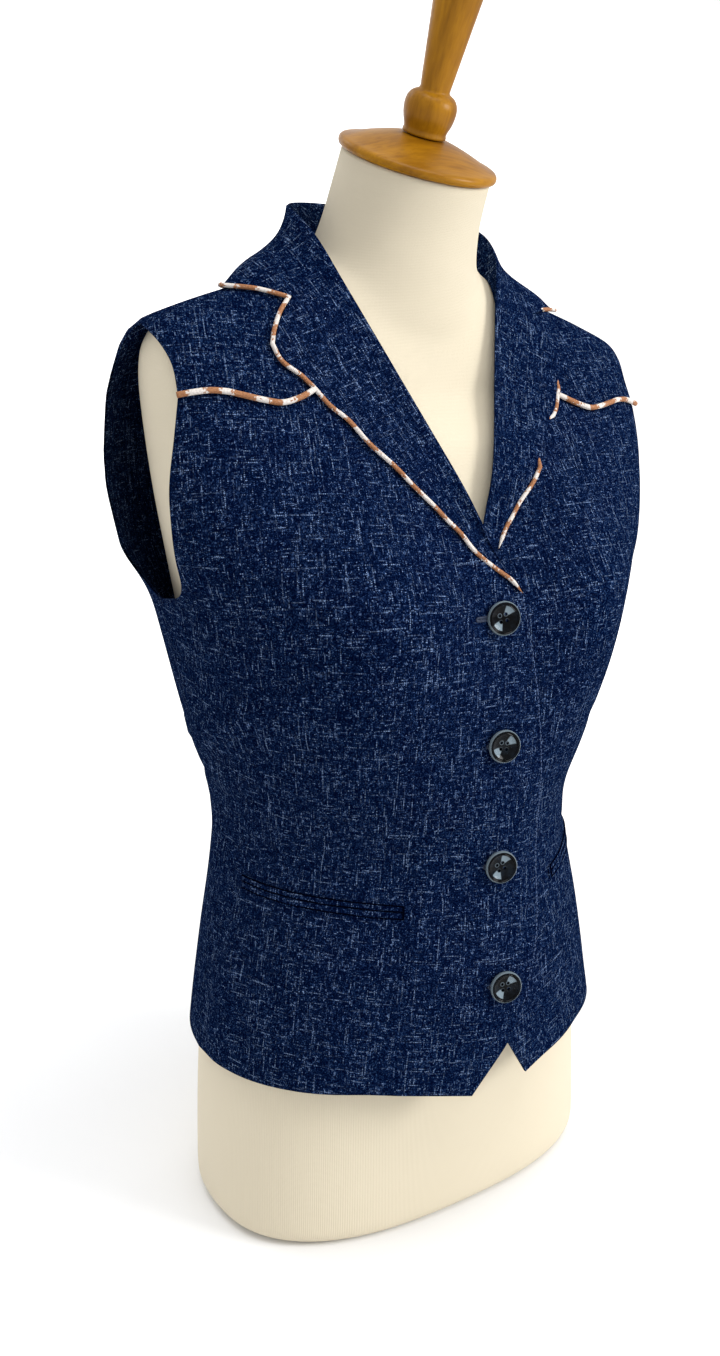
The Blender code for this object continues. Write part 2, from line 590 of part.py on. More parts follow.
def loft(rings):
    """Vertices and faces of a tube through rings of the same count, open at both ends, then the
    count of a ring and the number of the last ring's first vertex."""
    count = len(rings[0])
    vertices = np.concatenate([np.array(ring) for ring in rings])
    faces = []
    for i in range(len(rings) - 1):
        for j in range(count):
            k = (j + 1) % count
            faces.append((i * count + j, i * count + k, (i + 1) * count + k, (i + 1) * count + j))
    last = (len(rings) - 1) * count
    return vertices, faces, count, last


def section_caps(start):
    """A strip of faces that closes a collar section: it joins the outer line to the inner line."""
    steps = len(LEAF_STEPS)
    outer = list(range(0, 5 + steps))
    inner = list(range(7 + 2 * steps, 4 + steps, -1))
    pairs = [(0, 0), (1, 1), (2, 2), (3, 2), (4, 2)] + [(5 + k, 3 + k) for k in range(steps)]
    faces = []
    for (a, b), (c, d) in zip(pairs, pairs[1:]):
        face = [outer[a], outer[c], inner[d], inner[b]]
        faces.append(tuple(start + v for k, v in enumerate(face) if v not in face[:k]))
    return faces


def stations_of(side):
    """The stations of one half of the collar. The left one starts where it comes out from under the right."""
    return [station for station in STATIONS if side == "right" or station >= LEFT_LAPEL_START]


def make_collar(name, side):
    rings = [collar_section(station) for station in stations_of(side)]
    rings[-1][:, 0] = SEAM_GAP / 2
    if side == "left":
        rings = [sink_left(ring) for ring in rings]
    vertices, faces, _, last = loft(rings)
    faces = faces + section_caps(0) + section_caps(last)
    add_object(name, vertices, faces, CLOTH, mirrored=side == "right")


def tube(centres, normals, radius, sides, end_x=None):
    """A tube along points, turned with their normals and mitred at its corners."""
    rings = []
    for k, (centre, normal) in enumerate(zip(centres, normals)):
        before = unit(centre - centres[k - 1]) if k else None
        after = unit(centres[k + 1] - centre) if k < len(centres) - 1 else None
        along = unit(sum(v for v in (before, after) if v is not None))
        normal = across_from(normal, along)
        out = np.cross(along, normal)
        widen = 1.0 if before is None or after is None else 1 / max(np.dot(along, after), MITRE_LIMIT)
        turns = (np.arange(sides) + 0.5) * 2 * math.pi / sides
        ring = [centre + out * math.cos(t) * radius * widen + normal * math.sin(t) * radius for t in turns]
        rings.append(np.array(ring))
    if end_x is not None:
        rings[-1][:, 0] = end_x
    vertices, faces, count, last = loft(rings)
    faces = faces + [tuple(range(count - 1, -1, -1)), tuple(range(last, last + count))]
    return vertices, faces


def make_collar_piping(name, side):
    """The cord round the collar's edge, beside the leaf and square to it, with its corners mitred."""
    places = np.array([[np.interp(station, ROWS, EDGE[:, k]) for k in (0, 1)]
                       for station in stations_of(side)])
    points, normals = guide(places[:, 0], places[:, 1])
    edges = points + normals * (LEAF_LIFT + PIPING_RADIUS)
    centres = []
    for k, (point, normal) in enumerate(zip(edges, normals)):
        runs = [edges[b] - edges[a] for a, b in ((k - 1, k), (k, k + 1)) if a >= 0 and b < len(edges)]
        outs = [across_from(np.cross(unit(run), normal), normal) for run in runs]
        out = unit(sum(outs))
        stretch = 1 / max(np.dot(out, outs[0]), MITRE_LIMIT)
        centres.append(point + out * (SEAM_GAP + PIPING_RADIUS) * stretch)
    vertices, faces = tube(centres, normals, PIPING_RADIUS, PIPING_SIDES, end_x=SEAM_GAP / 2)
    if side == "left":
        vertices = sink_left(vertices)
    add_object(name, vertices, faces, PIPING, mirrored=side == "right")


def make_yoke_piping(name, side):
    places = path(yoke_seam(), PATH_SAMPLES)
    points, _ = guide(places[:, 0], places[:, 1])
    places = places[points[:, 0] > YOKE_PIPING_END]
    places = places[np.round(np.linspace(0, len(places) - 1, YOKE_PIPING_RINGS)).astype(int)]
    points, normals = guide(places[:, 0], places[:, 1])
    flat_radius = PIPING_RADIUS * math.cos(math.pi / PIPING_SIDES)
    centres = points + normals * (LEAF_LIFT + flat_radius)
    vertices, faces = tube(centres, normals, PIPING_RADIUS, PIPING_SIDES)
    add_object(name, vertices, faces, PIPING, mirrored=side == "right")


def make_welts(side):
    angles = np.linspace(WELT_OUTER[0], WELT_INNER[0], WELT_COLUMNS)
    levels = np.linspace(WELT_OUTER[1], WELT_INNER[1], WELT_COLUMNS)
    for name, above_line in (("upper", 1), ("lower", -1)):
        near, far = sorted((above_line * WELT_GAP / 2, above_line * (WELT_GAP / 2 + WELT_HEIGHT)))
        places = np.stack([np.stack([angles, levels + near], -1), np.stack([angles, levels + far], -1)])
        make_panel(f"pocket_{side}_welt_{name}", places, side, lift=WELT_LIFT, wall=WELT_WALL, gap=0.0)


def turned(name, profile, sides, matrix, look):
    """A solid turned from a profile of (radius, height), with its foot at the matrix's origin."""
    shape = bmesh.new()
    points = [shape.verts.new((r, 0, h)) for r, h in profile]
    lines = [shape.edges.new(pair) for pair in zip(points, points[1:])]
    bmesh.ops.spin(shape, geom=points + lines, axis=(0, 0, 1), cent=(0, 0, 0), angle=2 * math.pi,
                   steps=sides, use_merge=True, use_duplicate=False)
    bmesh.ops.remove_doubles(shape, verts=shape.verts[:], dist=0.00001)
    bmesh.ops.recalc_face_normals(shape, faces=shape.faces[:])
    mesh = bpy.data.meshes.new(name)
    shape.to_mesh(mesh)
    shape.free()
    mesh.transform(matrix)
    mesh.materials.append(add_material(name, look))
    mesh.shade_smooth()
    mesh.set_sharp_from_angle(angle=math.radians(35))
    item = bpy.data.objects.new(name, mesh)
    bpy.context.scene.collection.objects.link(item)
    return item


def make_form():
    angles = np.arange(FORM_SIDES) * 360 / FORM_SIDES
    foot = torso_point(angles, 0.0)
    outward = foot / np.linalg.norm(foot, axis=-1, keepdims=True)
    rings = []
    for turn in np.radians(FOOT_TURNS):
        ring = foot - outward * FOOT_ROUNDING * (1 - math.sin(turn))
        ring[:, 2] = FOOT_ROUNDING * (1 - math.cos(turn))
        rings.append(ring)
    levels = np.concatenate([np.linspace(first, last, count) for first, last, count in FORM_LEVELS])
    rings += [torso_point(angles, level) for level in levels]
    vertices, faces, count, last = loft(rings)
    faces = faces + [tuple(range(count)), tuple(range(last, last + count))[::-1]]
    add_object("form_body", vertices, faces, JERSEY)


def make_neck_fittings():
    lean = Matrix.Rotation(NECK_TILT, 4, "X")
    axis = lean @ Vector((0, 0, 1))
    foot = Vector(NECK_TOP_CENTRE) + axis * SEAM_GAP
    turned("neck_cap", CAP_PROFILE, CAP_SIDES, Matrix.Translation(foot) @ lean, WOOD)
    foot = foot + axis * (CAP_PROFILE[-1][1] + SEAM_GAP)
    turned("neck_finial", FINIAL_PROFILE, FINIAL_SIDES, Matrix.Translation(foot) @ lean, WOOD)


def seated(item, point, ahead, profile, lean):
    """The matrix that stands a turned profile on an item near a point, leaning from its surface there."""
    mesh = item.data
    tree = BVHTree.FromPolygons([v.co for v in mesh.vertices], [p.vertices for p in mesh.polygons])
    widest = max(radius for radius, _ in profile)
    turns = [2 * math.pi * k / SEAT_RAYS for k in range(SEAT_RAYS)]

    def hits(radius):
        turn = ahead.to_track_quat("Z", "Y").to_matrix()
        spots = [point + turn @ Vector((radius * math.cos(t), radius * math.sin(t), 0)) for t in turns]
        return [tree.ray_cast(spot + ahead * widest, -ahead)[0] for spot in spots]

    ring = hits(widest * SEAT_SHARE)
    quarter = SEAT_RAYS // 4
    ahead = (ring[0] - ring[2 * quarter]).cross(ring[quarter] - ring[3 * quarter]).normalized()
    ahead = Matrix.Rotation(-lean, 3, "Z") @ ahead
    highest = max((hit - point).dot(ahead) - height for radius, height in profile for hit in hits(radius))
    turn = ahead.to_track_quat("Z", "Y").to_matrix().to_4x4()
    return Matrix.Translation(point + ahead * (highest + SEAM_GAP)) @ turn


def make_buttons(front):
    """Each button at centre front, resting on the front by the part of its profile up to its widest."""
    for number, height in enumerate(BUTTON_HEIGHTS, 1):
        point, normal = guide(*front_place(0.0, height))
        matrix = seated(front, Vector(point), Vector(normal), BUTTON_PROFILE[1:4], BUTTON_LEAN)
        turned(f"button_{number}", BUTTON_PROFILE, BUTTON_SIDES, matrix, BUTTON)


def main():
    for item in list(bpy.data.objects):
        bpy.data.objects.remove(item, do_unlink=True)
    make_form()
    make_neck_fittings()
    make_back()
    outer_front = make_front("front_right", "right", FRONT_EDGE)
    make_front("front_left", "left", UNDER_EDGE)
    for side in ("right", "left"):
        make_yoke(f"yoke_{side}", side)
        make_collar(f"collar_{side}", side)
        make_collar_piping(f"piping_collar_{side}", side)
        make_yoke_piping(f"piping_yoke_{side}", side)
        make_welts(side)
    make_buttons(outer_front)


main()
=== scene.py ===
# %% [markdown]
# A western vest on its dress form.
#
# The solids come in as a fixed frame. Each cloth solid is a plain wall, so here it is softened, gets
# its grain, its drag creases and a slubbed weave. The cord, the buttons, the form and its wooden
# fittings are made again with finer shapes in the places that the solids give.

import math

import bmesh
import bpy
import numpy as np
from mathutils import Matrix, Vector
from mathutils.bvhtree import BVHTree


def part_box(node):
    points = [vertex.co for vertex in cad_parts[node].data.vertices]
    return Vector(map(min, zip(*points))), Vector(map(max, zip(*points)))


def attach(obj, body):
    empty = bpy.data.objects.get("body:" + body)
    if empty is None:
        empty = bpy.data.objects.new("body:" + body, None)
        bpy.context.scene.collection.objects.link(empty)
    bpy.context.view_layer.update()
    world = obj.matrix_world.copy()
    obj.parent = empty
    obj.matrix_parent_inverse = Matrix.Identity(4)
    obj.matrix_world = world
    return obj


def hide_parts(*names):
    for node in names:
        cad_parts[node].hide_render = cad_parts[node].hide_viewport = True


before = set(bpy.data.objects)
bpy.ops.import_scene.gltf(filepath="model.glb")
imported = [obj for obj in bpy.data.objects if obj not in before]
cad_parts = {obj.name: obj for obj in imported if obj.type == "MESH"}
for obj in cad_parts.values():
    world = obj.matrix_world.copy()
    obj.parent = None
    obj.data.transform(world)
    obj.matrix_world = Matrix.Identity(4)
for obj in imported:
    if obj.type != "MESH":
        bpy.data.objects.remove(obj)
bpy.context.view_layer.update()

# %% [markdown]
# The camera first, because it decides which details matter. The photograph was taken from the
# wearer's right front, a little above the waist and looking down. A wide lens close by is the only
# one that gives the same taper from the neck to the base, so its place, heading and lens were fitted
# to edges that can be seen in the photograph, and are simply stated.

# %% Place the camera
CAMERA_PLACE = Vector((-0.4367, -0.6559, 0.5507))
CAMERA_HEADING = math.radians(31.84)
CAMERA_PITCH = math.radians(12.167)
CAMERA_ROLL = math.radians(-0.304)
LENS_MM = 29.03

ahead = Vector((math.sin(CAMERA_HEADING), math.cos(CAMERA_HEADING), 0)) * math.cos(CAMERA_PITCH)
ahead.z = -math.sin(CAMERA_PITCH)
across = ahead.cross(Vector((0, 0, 1))).normalized()
upward = across.cross(ahead)
camera_right = across * math.cos(CAMERA_ROLL) + upward * math.sin(CAMERA_ROLL)
camera_up = upward * math.cos(CAMERA_ROLL) - across * math.sin(CAMERA_ROLL)
turn = Matrix((camera_right, camera_up, -ahead)).transposed()
camera_data = bpy.data.cameras.new("camera")
camera_data.lens = LENS_MM
camera = bpy.data.objects.new("camera", camera_data)
camera.matrix_world = Matrix.Translation(CAMERA_PLACE) @ turn.to_4x4()
bpy.context.scene.collection.objects.link(camera)
bpy.context.scene.camera = camera
print("camera stands", round(CAMERA_PLACE.xy.length, 3), "m from the form's middle")

# %% [markdown]
# Cloth starts from its solid. The solid is a list of loose triangles, so a copy is merged and the
# triangles are paired back into quads, which subdivide far more smoothly. The rim of the wall is
# creased, so that Subdivision Surface rounds the panel and leaves its cut edges crisp, and corners
# such as the notch get a vertex crease or they would be rounded off too.

# %% Soft copies of the cloth solids
MERGE_DISTANCE = 0.00002
RIM_ANGLE = math.radians(50)
PAIRING_ANGLE = math.radians(60)
CORNER_ANGLE = math.radians(28)
SHORTEST_SIDE = 0.002


def merged_copy(node):
    """A bmesh of a solid with its points merged and its triangles paired."""
    shape = bmesh.new()
    shape.from_mesh(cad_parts[node].data)
    bmesh.ops.remove_doubles(shape, verts=shape.verts[:], dist=MERGE_DISTANCE)
    bmesh.ops.join_triangles(shape, faces=shape.faces[:], angle_face_threshold=RIM_ANGLE,
                             angle_shape_threshold=PAIRING_ANGLE)
    return shape


def crease_rim(shape):
    """Creases the sharp edges of a wall and the corners where they turn, and marks them as seams."""
    edge_crease = shape.edges.layers.float.new("crease_edge")
    corner_crease = shape.verts.layers.float.new("crease_vert")
    for edge in shape.edges:
        if edge.calc_face_angle(0) > RIM_ANGLE:
            edge[edge_crease] = 1.0
            edge.seam = True
    for vert in shape.verts:
        along = [edge.other_vert(vert).co - vert.co for edge in vert.link_edges if edge.seam]
        along = [side for side in along if side.length > SHORTEST_SIDE]
        if len(along) == 2 and along[0].angle(-along[1]) > CORNER_ANGLE:
            vert[corner_crease] = 1.0


def object_of(name, shape):
    mesh = bpy.data.meshes.new(name)
    shape.to_mesh(mesh)
    shape.free()
    piece = bpy.data.objects.new(name, mesh)
    bpy.context.scene.collection.objects.link(piece)
    return piece


def finished(piece, *modifiers):
    """Runs modifiers, given as (type, settings), and keeps their result as the piece's mesh."""
    for kind, settings in modifiers:
        modifier = piece.modifiers.new(kind.title(), kind)
        for setting, value in settings.items():
            setattr(modifier, setting, value)
    graph = bpy.context.evaluated_depsgraph_get()
    mesh = bpy.data.meshes.new_from_object(piece.evaluated_get(graph))
    piece.modifiers.clear()
    piece.data = mesh
    mesh.shade_smooth()
    return piece


SMOOTH_TWICE = ("SUBSURF", {"levels": 2, "render_levels": 2})
SOFT_RIM = ("BEVEL", {"width": 0.0005, "segments": 2, "limit_method": "ANGLE", "angle_limit": RIM_ANGLE,
                      "use_clamp_overlap": True, "harden_normals": False})

# %% [markdown]
# A weave has a direction. Each wall is unwrapped, its inner and outer side by themselves, and each
# side is then scaled to real metres and turned until the grain lies the way the piece was cut. On
# the map one unit is one metre, so a thread has the same thickness on every piece.

# %% Lay the grain
SIDE_SHIFT = np.array((0.37, 0.21))


def islands_of(shape):
    """Groups of faces that seams don't part."""
    found, seen = [], set()
    for start in shape.faces:
        if start.index in seen:
            continue
        group, front = [], [start]
        seen.add(start.index)
        while front:
            face = front.pop()
            group.append(face)
            for edge in face.edges:
                for other in () if edge.seam else edge.link_faces:
                    if other.index not in seen:
                        seen.add(other.index)
                        front.append(other)
        found.append(group)
    return found


def lay_grain(piece, grain):
    """Unwraps a piece in metres, with the grain direction up the map."""
    bpy.ops.object.select_all(action="DESELECT")
    piece.select_set(True)
    bpy.context.view_layer.objects.active = piece
    bpy.ops.object.mode_set(mode="EDIT")
    bpy.ops.mesh.select_all(action="SELECT")
    bpy.ops.uv.unwrap(method="ANGLE_BASED", margin=0.001)
    bpy.ops.object.mode_set(mode="OBJECT")
    shape = bmesh.new()
    shape.from_mesh(piece.data)
    uv = shape.loops.layers.uv.verify()
    grain = np.array(grain, float)
    for number, group in enumerate(islands_of(shape)):
        loops = [loop for face in group for loop in face.loops]
        flat = np.array([loop[uv].uv for loop in loops])
        space = np.array([loop.vert.co for loop in loops])
        flat -= flat.mean(axis=0)
        space = space - space.mean(axis=0)
        rule = np.linalg.lstsq(space, flat, rcond=None)[0]
        side, rise = grain @ rule
        angle = math.atan2(side, rise)
        turn_back = np.array([[math.cos(angle), math.sin(angle)], [-math.sin(angle), math.cos(angle)]])
        flat = flat @ turn_back
        real = sum(face.calc_area() for face in group)
        mapped = 0.0
        corner = 0
        for face in group:
            ring = flat[corner:corner + len(face.loops)]
            after = np.roll(ring, -1, axis=0)
            mapped += abs((ring[:, 0] * after[:, 1] - ring[:, 1] * after[:, 0]).sum()) / 2
            corner += len(face.loops)
        flat *= math.sqrt(real / max(mapped, 1e-12))
        for loop, place in zip(loops, flat):
            loop[uv].uv = place + SIDE_SHIFT * number
    shape.to_mesh(piece.data)
    shape.free()


# %% [markdown]
# Creases are placed one by one. On the real vest the cloth is drawn in at the waist, so soft folds run
# from the side seams up towards the chest and down over the hip, and shallow ones fall from the
# shoulders. Each row is one trough or ridge on the wrapped body: where it starts, where it ends, how
# deep it is and how wide. Both ends fade, and no two are alike. The same function moves every piece
# of cloth, so what lies on a panel moves with it.

# %% Drape the creases
BODY_MIDDLE_Y = 0.003
METRES_PER_DEGREE = 0.0024
WANDER, WANDER_TURNS = 0.35, 5
FADE_START, FADE_SPAN = 0.18, 0.74
# The angle and height of the start, those of the end, the depth (a ridge is above 0), half the width.
CREASES = (
    (-92, 0.338, -36, 0.372, -0.0030, 0.0070),
    (-90, 0.356, -52, 0.402, 0.0053, 0.0069),
    (-95, 0.312, -58, 0.330, -0.0024, 0.0058),
    (-88, 0.286, -44, 0.296, -0.0020, 0.0064),
    (-70, 0.395, -34, 0.428, -0.0016, 0.0075),
    (-58, 0.150, -50, 0.235, -0.0016, 0.0085),
    (-26, 0.200, -22, 0.330, 0.0022, 0.0100),
    (-84, 0.140, -80, 0.235, 0.0049, 0.0103),
    (-60, 0.470, -44, 0.560, -0.0016, 0.0080),
    (-30, 0.470, -14, 0.440, -0.0012, 0.0070),
    (91, 0.330, 48, 0.360, -0.0028, 0.0068),
    (93, 0.306, 54, 0.316, -0.0023, 0.0060),
    (88, 0.352, 60, 0.388, 0.0049, 0.0071),
    (76, 0.278, 46, 0.262, -0.0016, 0.0066),
    (56, 0.148, 48, 0.226, -0.0016, 0.0090),
    (80, 0.150, 84, 0.240, 0.0044, 0.0098),
    (58, 0.475, 42, 0.552, -0.0015, 0.0082),
    (104, 0.334, 150, 0.352, -0.0031, 0.0072),
    (100, 0.306, 156, 0.310, -0.0027, 0.0064),
    (108, 0.352, 140, 0.392, 0.0056, 0.0076),
    (172, 0.300, 146, 0.276, -0.0019, 0.0068),
    (166, 0.330, 176, 0.430, -0.0018, 0.0090),
    (122, 0.420, 132, 0.520, -0.0020, 0.0084),
    (140, 0.150, 148, 0.250, -0.0022, 0.0095),
    (-102, 0.330, -146, 0.346, -0.0030, 0.0070),
    (-106, 0.308, -158, 0.302, -0.0026, 0.0066),
    (-110, 0.350, -136, 0.398, 0.0053, 0.0074),
    (-168, 0.296, -140, 0.270, -0.0020, 0.0070),
    (-124, 0.430, -134, 0.536, -0.0019, 0.0086),
    (-150, 0.146, -142, 0.232, -0.0019, 0.0092),
    (-174, 0.500, -164, 0.600, -0.0015, 0.0090),
)


def crease_height(angle, height):
    """How far out the creases move places on the wrapped body."""
    moved = np.zeros(angle.shape)
    for start_angle, start_z, end_angle, end_z, depth, half_width in CREASES:
        along = np.array([(end_angle - start_angle) * METRES_PER_DEGREE, end_z - start_z])
        turned_by = (angle - start_angle + 180) % 360 - 180
        offset = np.stack([turned_by * METRES_PER_DEGREE, height - start_z], -1)
        share = np.clip(offset @ along / (along @ along), 0, 1)
        wander = WANDER * half_width * np.sin(share * WANDER_TURNS + start_angle)
        away = np.linalg.norm(offset - share[:, None] * along, axis=1) + wander * (share > 0) * (share < 1)
        fade = np.sin(math.pi * np.clip(FADE_START + FADE_SPAN * share, 0, 1)) ** 0.8
        moved += depth * fade * np.exp(-(away / half_width) ** 2)
    return moved


def drape(piece):
    """Moves a piece's points in and out by the creases."""
    points = np.empty(len(piece.data.vertices) * 3)
    piece.data.vertices.foreach_get("co", points)
    points = points.reshape(-1, 3)
    angle = np.degrees(np.arctan2(points[:, 0], BODY_MIDDLE_Y - points[:, 1]))
    height = crease_height(angle, points[:, 2])
    points[:, 0] += np.sin(np.radians(angle)) * height
    points[:, 1] -= np.cos(np.radians(angle)) * height
    piece.data.vertices.foreach_set("co", points.ravel())
    piece.data.update()
    return height


# %% [markdown]
# Materials are put together from a few node helpers, so that a formula reads like one. The cloth of
# the vest is a navy linen look: dark yarns both ways, each a little different, with pale slubs that
# come and go along them. A group works that out from the map in metres and gives masks and a height.
# The shader itself stays in the material.

# %% Helpers for shader nodes
def feed(tree, socket, value):
    """Sets a socket to a number or a colour, or links another node's output to it."""
    if isinstance(value, tuple):
        socket.default_value = (*value, 1)
    elif isinstance(value, (int, float)):
        socket.default_value = value
    else:
        tree.links.new(value, socket)


def new_group(name, inputs, outputs):
    """A shader node group with float and vector sockets, and its two ends."""
    group = bpy.data.node_groups.new(name, "ShaderNodeTree")
    for label, kind, value in inputs:
        socket = group.interface.new_socket(name=label, in_out="INPUT", socket_type=kind)
        if value is not None:
            socket.default_value = value
    for label in outputs:
        group.interface.new_socket(name=label, in_out="OUTPUT", socket_type="NodeSocketFloat")
    return group, group.nodes.new("NodeGroupInput").outputs, group.nodes.new("NodeGroupOutput").inputs


def maths(tree, operation, *values, clamp=False):
    node = tree.nodes.new("ShaderNodeMath")
    node.operation, node.use_clamp = operation, clamp
    for socket, value in zip(node.inputs, values):
        feed(tree, socket, value)
    return node.outputs[0]


def joined(tree, x, y, z=0.0):
    node = tree.nodes.new("ShaderNodeCombineXYZ")
    for socket, value in zip(node.inputs, (x, y, z)):
        feed(tree, socket, value)
    return node.outputs[0]


def parted(tree, place):
    node = tree.nodes.new("ShaderNodeSeparateXYZ")
    tree.links.new(place, node.inputs[0])
    return node.outputs


def noise(tree, place, scale, detail=2.0, roughness=0.5):
    node = tree.nodes.new("ShaderNodeTexNoise")
    tree.links.new(place, node.inputs["Vector"])
    node.inputs["Scale"].default_value = scale
    node.inputs["Detail"].default_value = detail
    node.inputs["Roughness"].default_value = roughness
    return node.outputs["Fac"]


def stretch(tree, value, low, high):
    """A value spread from 0 at low to 1 at high."""
    node = tree.nodes.new("ShaderNodeMapRange")
    node.interpolation_type = "SMOOTHSTEP"
    tree.links.new(value, node.inputs["Value"])
    node.inputs["From Min"].default_value = low
    node.inputs["From Max"].default_value = high
    return node.outputs["Result"]


# %% [markdown]
# Each yarn is counted across the map, and its number picks its own line in a noise field, so a slub
# is long along the yarn and ends sharply beside it. A slow wave bends the count, because yarns are
# never quite straight. As in any plain weave, the warp is on top at every second crossing.

# %% The slub weave group
def chance(tree, x, y=0.0, z=0.0):
    """A different value from 0 to 1 for each place, with nothing smooth between places."""
    node = tree.nodes.new("ShaderNodeTexWhiteNoise")
    tree.links.new(joined(tree, x, y, z), node.inputs["Vector"])
    return node.outputs["Value"]


def weighed(tree, *parts):
    """The sum of values, each multiplied by its weight."""
    total = 0.0
    for value, weight in parts:
        total = maths(tree, "MULTIPLY_ADD", value, weight, total)
    return total


YARN_WAVE_SCALE = 26.0
YARN_SPACING_IN_NOISE = 7.31
SLUB_FROM, SLUB_TO = 0.60, 0.74
LONG_SLUB_FROM, LONG_SLUB_TO = 0.77, 0.89
LONG_SLUB_RUN = 0.34
LONG_SLUB_LUCK = 0.22
YARN_ROUNDNESS = -1.6


def yarns(group, given, over, along, shift):
    """Each yarn's number, its thick stretches, its pale slubs and its round back."""
    wave = maths(group, "SUBTRACT", noise(group, joined(group, over, along, shift), YARN_WAVE_SCALE), 0.5)
    across = maths(group, "MULTIPLY_ADD", wave, given["Waviness"], over)
    count = maths(group, "DIVIDE", across, given["Yarn pitch"])
    yarn = maths(group, "FLOOR", count)
    line = maths(group, "MULTIPLY", yarn, YARN_SPACING_IN_NOISE)
    run = maths(group, "DIVIDE", along, given["Slub length"])
    thick = noise(group, joined(group, line, run, shift), 1.0, 2.0, 0.6)
    long_run = noise(group, joined(group, line, maths(group, "MULTIPLY", run, LONG_SLUB_RUN), -shift), 1.0)
    lucky = maths(group, "MULTIPLY_ADD", chance(group, yarn, shift), LONG_SLUB_LUCK, long_run)
    pale = maths(group, "MAXIMUM", stretch(group, thick, SLUB_FROM, SLUB_TO),
                 stretch(group, lucky, LONG_SLUB_FROM, LONG_SLUB_TO))
    middle = maths(group, "ABSOLUTE", maths(group, "SUBTRACT", maths(group, "FRACT", count), 0.5))
    return yarn, thick, pale, maths(group, "MULTIPLY_ADD", middle, YARN_ROUNDNESS, 1.0)


def slub_weave_group():
    """A plain weave on a map in metres: shade of each visible yarn bit, pale slubs, height."""
    group, given, wanted = new_group(
        "slub_weave",
        [("Place", "NodeSocketVector", None), ("Yarn pitch", "NodeSocketFloat", 0.0006),
         ("Slub length", "NodeSocketFloat", 0.009), ("Waviness", "NodeSocketFloat", 0.0016)],
        ["Yarn shade", "Slubs", "Height"])
    x, y, _ = parted(group, given["Place"])
    warp = yarns(group, given, x, y, 11.3)
    weft = yarns(group, given, y, x, 47.9)
    both_counts = maths(group, "ADD", warp[0], weft[0])
    on_top = maths(group, "LESS_THAN", maths(group, "PINGPONG", both_counts, 1.0), 0.5)

    def picked(number):
        mix = group.nodes.new("ShaderNodeMix")
        for socket, value in zip((0, 2, 3), (on_top, warp[number], weft[number])):
            group.links.new(value, mix.inputs[socket])
        return mix.outputs[0]

    bit = chance(group, warp[0], weft[0], 3.0)
    thick = stretch(group, picked(1), 0.30, 0.70)
    lit = weighed(group, (picked(2), 0.75), (maths(group, "MAXIMUM", warp[2], weft[2]), 0.25))
    slubs = maths(group, "MULTIPLY", lit, maths(group, "MULTIPLY_ADD", bit, 1.1, -0.1), clamp=True)
    group.links.new(weighed(group, (bit, 0.62), (thick, 0.38)), wanted["Yarn shade"])
    group.links.new(slubs, wanted["Slubs"])
    group.links.new(weighed(group, (picked(3), 0.6), (slubs, 0.5)), wanted["Height"])
    return group


SLUB_WEAVE = slub_weave_group()
print("slub weave nodes:", len(SLUB_WEAVE.nodes))

# %% [markdown]
# The vest's material lays the yarn shades out on a ramp of navies, from almost black to a washed
# blue, and mixes in the pale slubs. Most yarn bits are very dark and only a few are light, which is
# what makes the cloth look deep from afar and lively close by.

# %% The navy cloth
def new_material(name, roughness, specular):
    """A material with its node tree and its shader, which already has its gloss."""
    material = bpy.data.materials.new(name)
    material.use_nodes = True
    shader = material.node_tree.nodes["Principled BSDF"]
    shader.inputs["Roughness"].default_value = roughness
    shader.inputs["Specular IOR Level"].default_value = specular
    return material, material.node_tree, shader


def uv_place(tree):
    return tree.nodes.new("ShaderNodeUVMap").outputs[0]


def object_place(tree):
    return tree.nodes.new("ShaderNodeTexCoord").outputs["Object"]


def colour_mix(tree, share, first, second):
    node = tree.nodes.new("ShaderNodeMix")
    node.data_type = "RGBA"
    for socket, value in zip((0, 6, 7), (share, first, second)):
        feed(tree, node.inputs[socket], value)
    return node.outputs[2]


def colour_ramp(tree, value, stops):
    node = tree.nodes.new("ShaderNodeValToRGB")
    tree.links.new(value, node.inputs[0])
    points = node.color_ramp.elements
    while len(points) < len(stops):
        points.new(0.5)
    for point, (place, colour) in zip(points, stops):
        point.position, point.color = place, (*colour, 1)
    return node.outputs[0]


def bumped(tree, shader, height, distance):
    bump = tree.nodes.new("ShaderNodeBump")
    bump.inputs["Distance"].default_value = distance
    tree.links.new(height, bump.inputs["Height"])
    tree.links.new(bump.outputs[0], shader.inputs["Normal"])


NAVY_RAMP = (
    (0.00, (0.0001, 0.0008, 0.0080)),
    (0.35, (0.0004, 0.0023, 0.0150)),
    (0.55, (0.0015, 0.0056, 0.0270)),
    (0.72, (0.0048, 0.0140, 0.0500)),
    (0.86, (0.0190, 0.0430, 0.1150)),
    (1.00, (0.0750, 0.1300, 0.2700)),
)
NAVY_SLUB = (0.215, 0.310, 0.510)
YARN_PITCH = 0.00058
SLUB_LENGTH = 0.0062
WEAVE_RELIEF = 0.00010


def navy_cloth_material():
    material, tree, shader = new_material("navy_slub_cloth", 0.9, 0.0)
    weave = tree.nodes.new("ShaderNodeGroup")
    weave.node_tree = SLUB_WEAVE
    tree.links.new(uv_place(tree), weave.inputs["Place"])
    weave.inputs["Yarn pitch"].default_value = YARN_PITCH
    weave.inputs["Slub length"].default_value = SLUB_LENGTH
    toned = colour_ramp(tree, weave.outputs["Yarn shade"], NAVY_RAMP)
    tree.links.new(colour_mix(tree, weave.outputs["Slubs"], toned, NAVY_SLUB), shader.inputs["Base Color"])
    bumped(tree, shader, weave.outputs["Height"], WEAVE_RELIEF)
    return material


NAVY_CLOTH = navy_cloth_material()
print("the weave has", round(0.01 / YARN_PITCH, 1), "yarns in a centimetre")

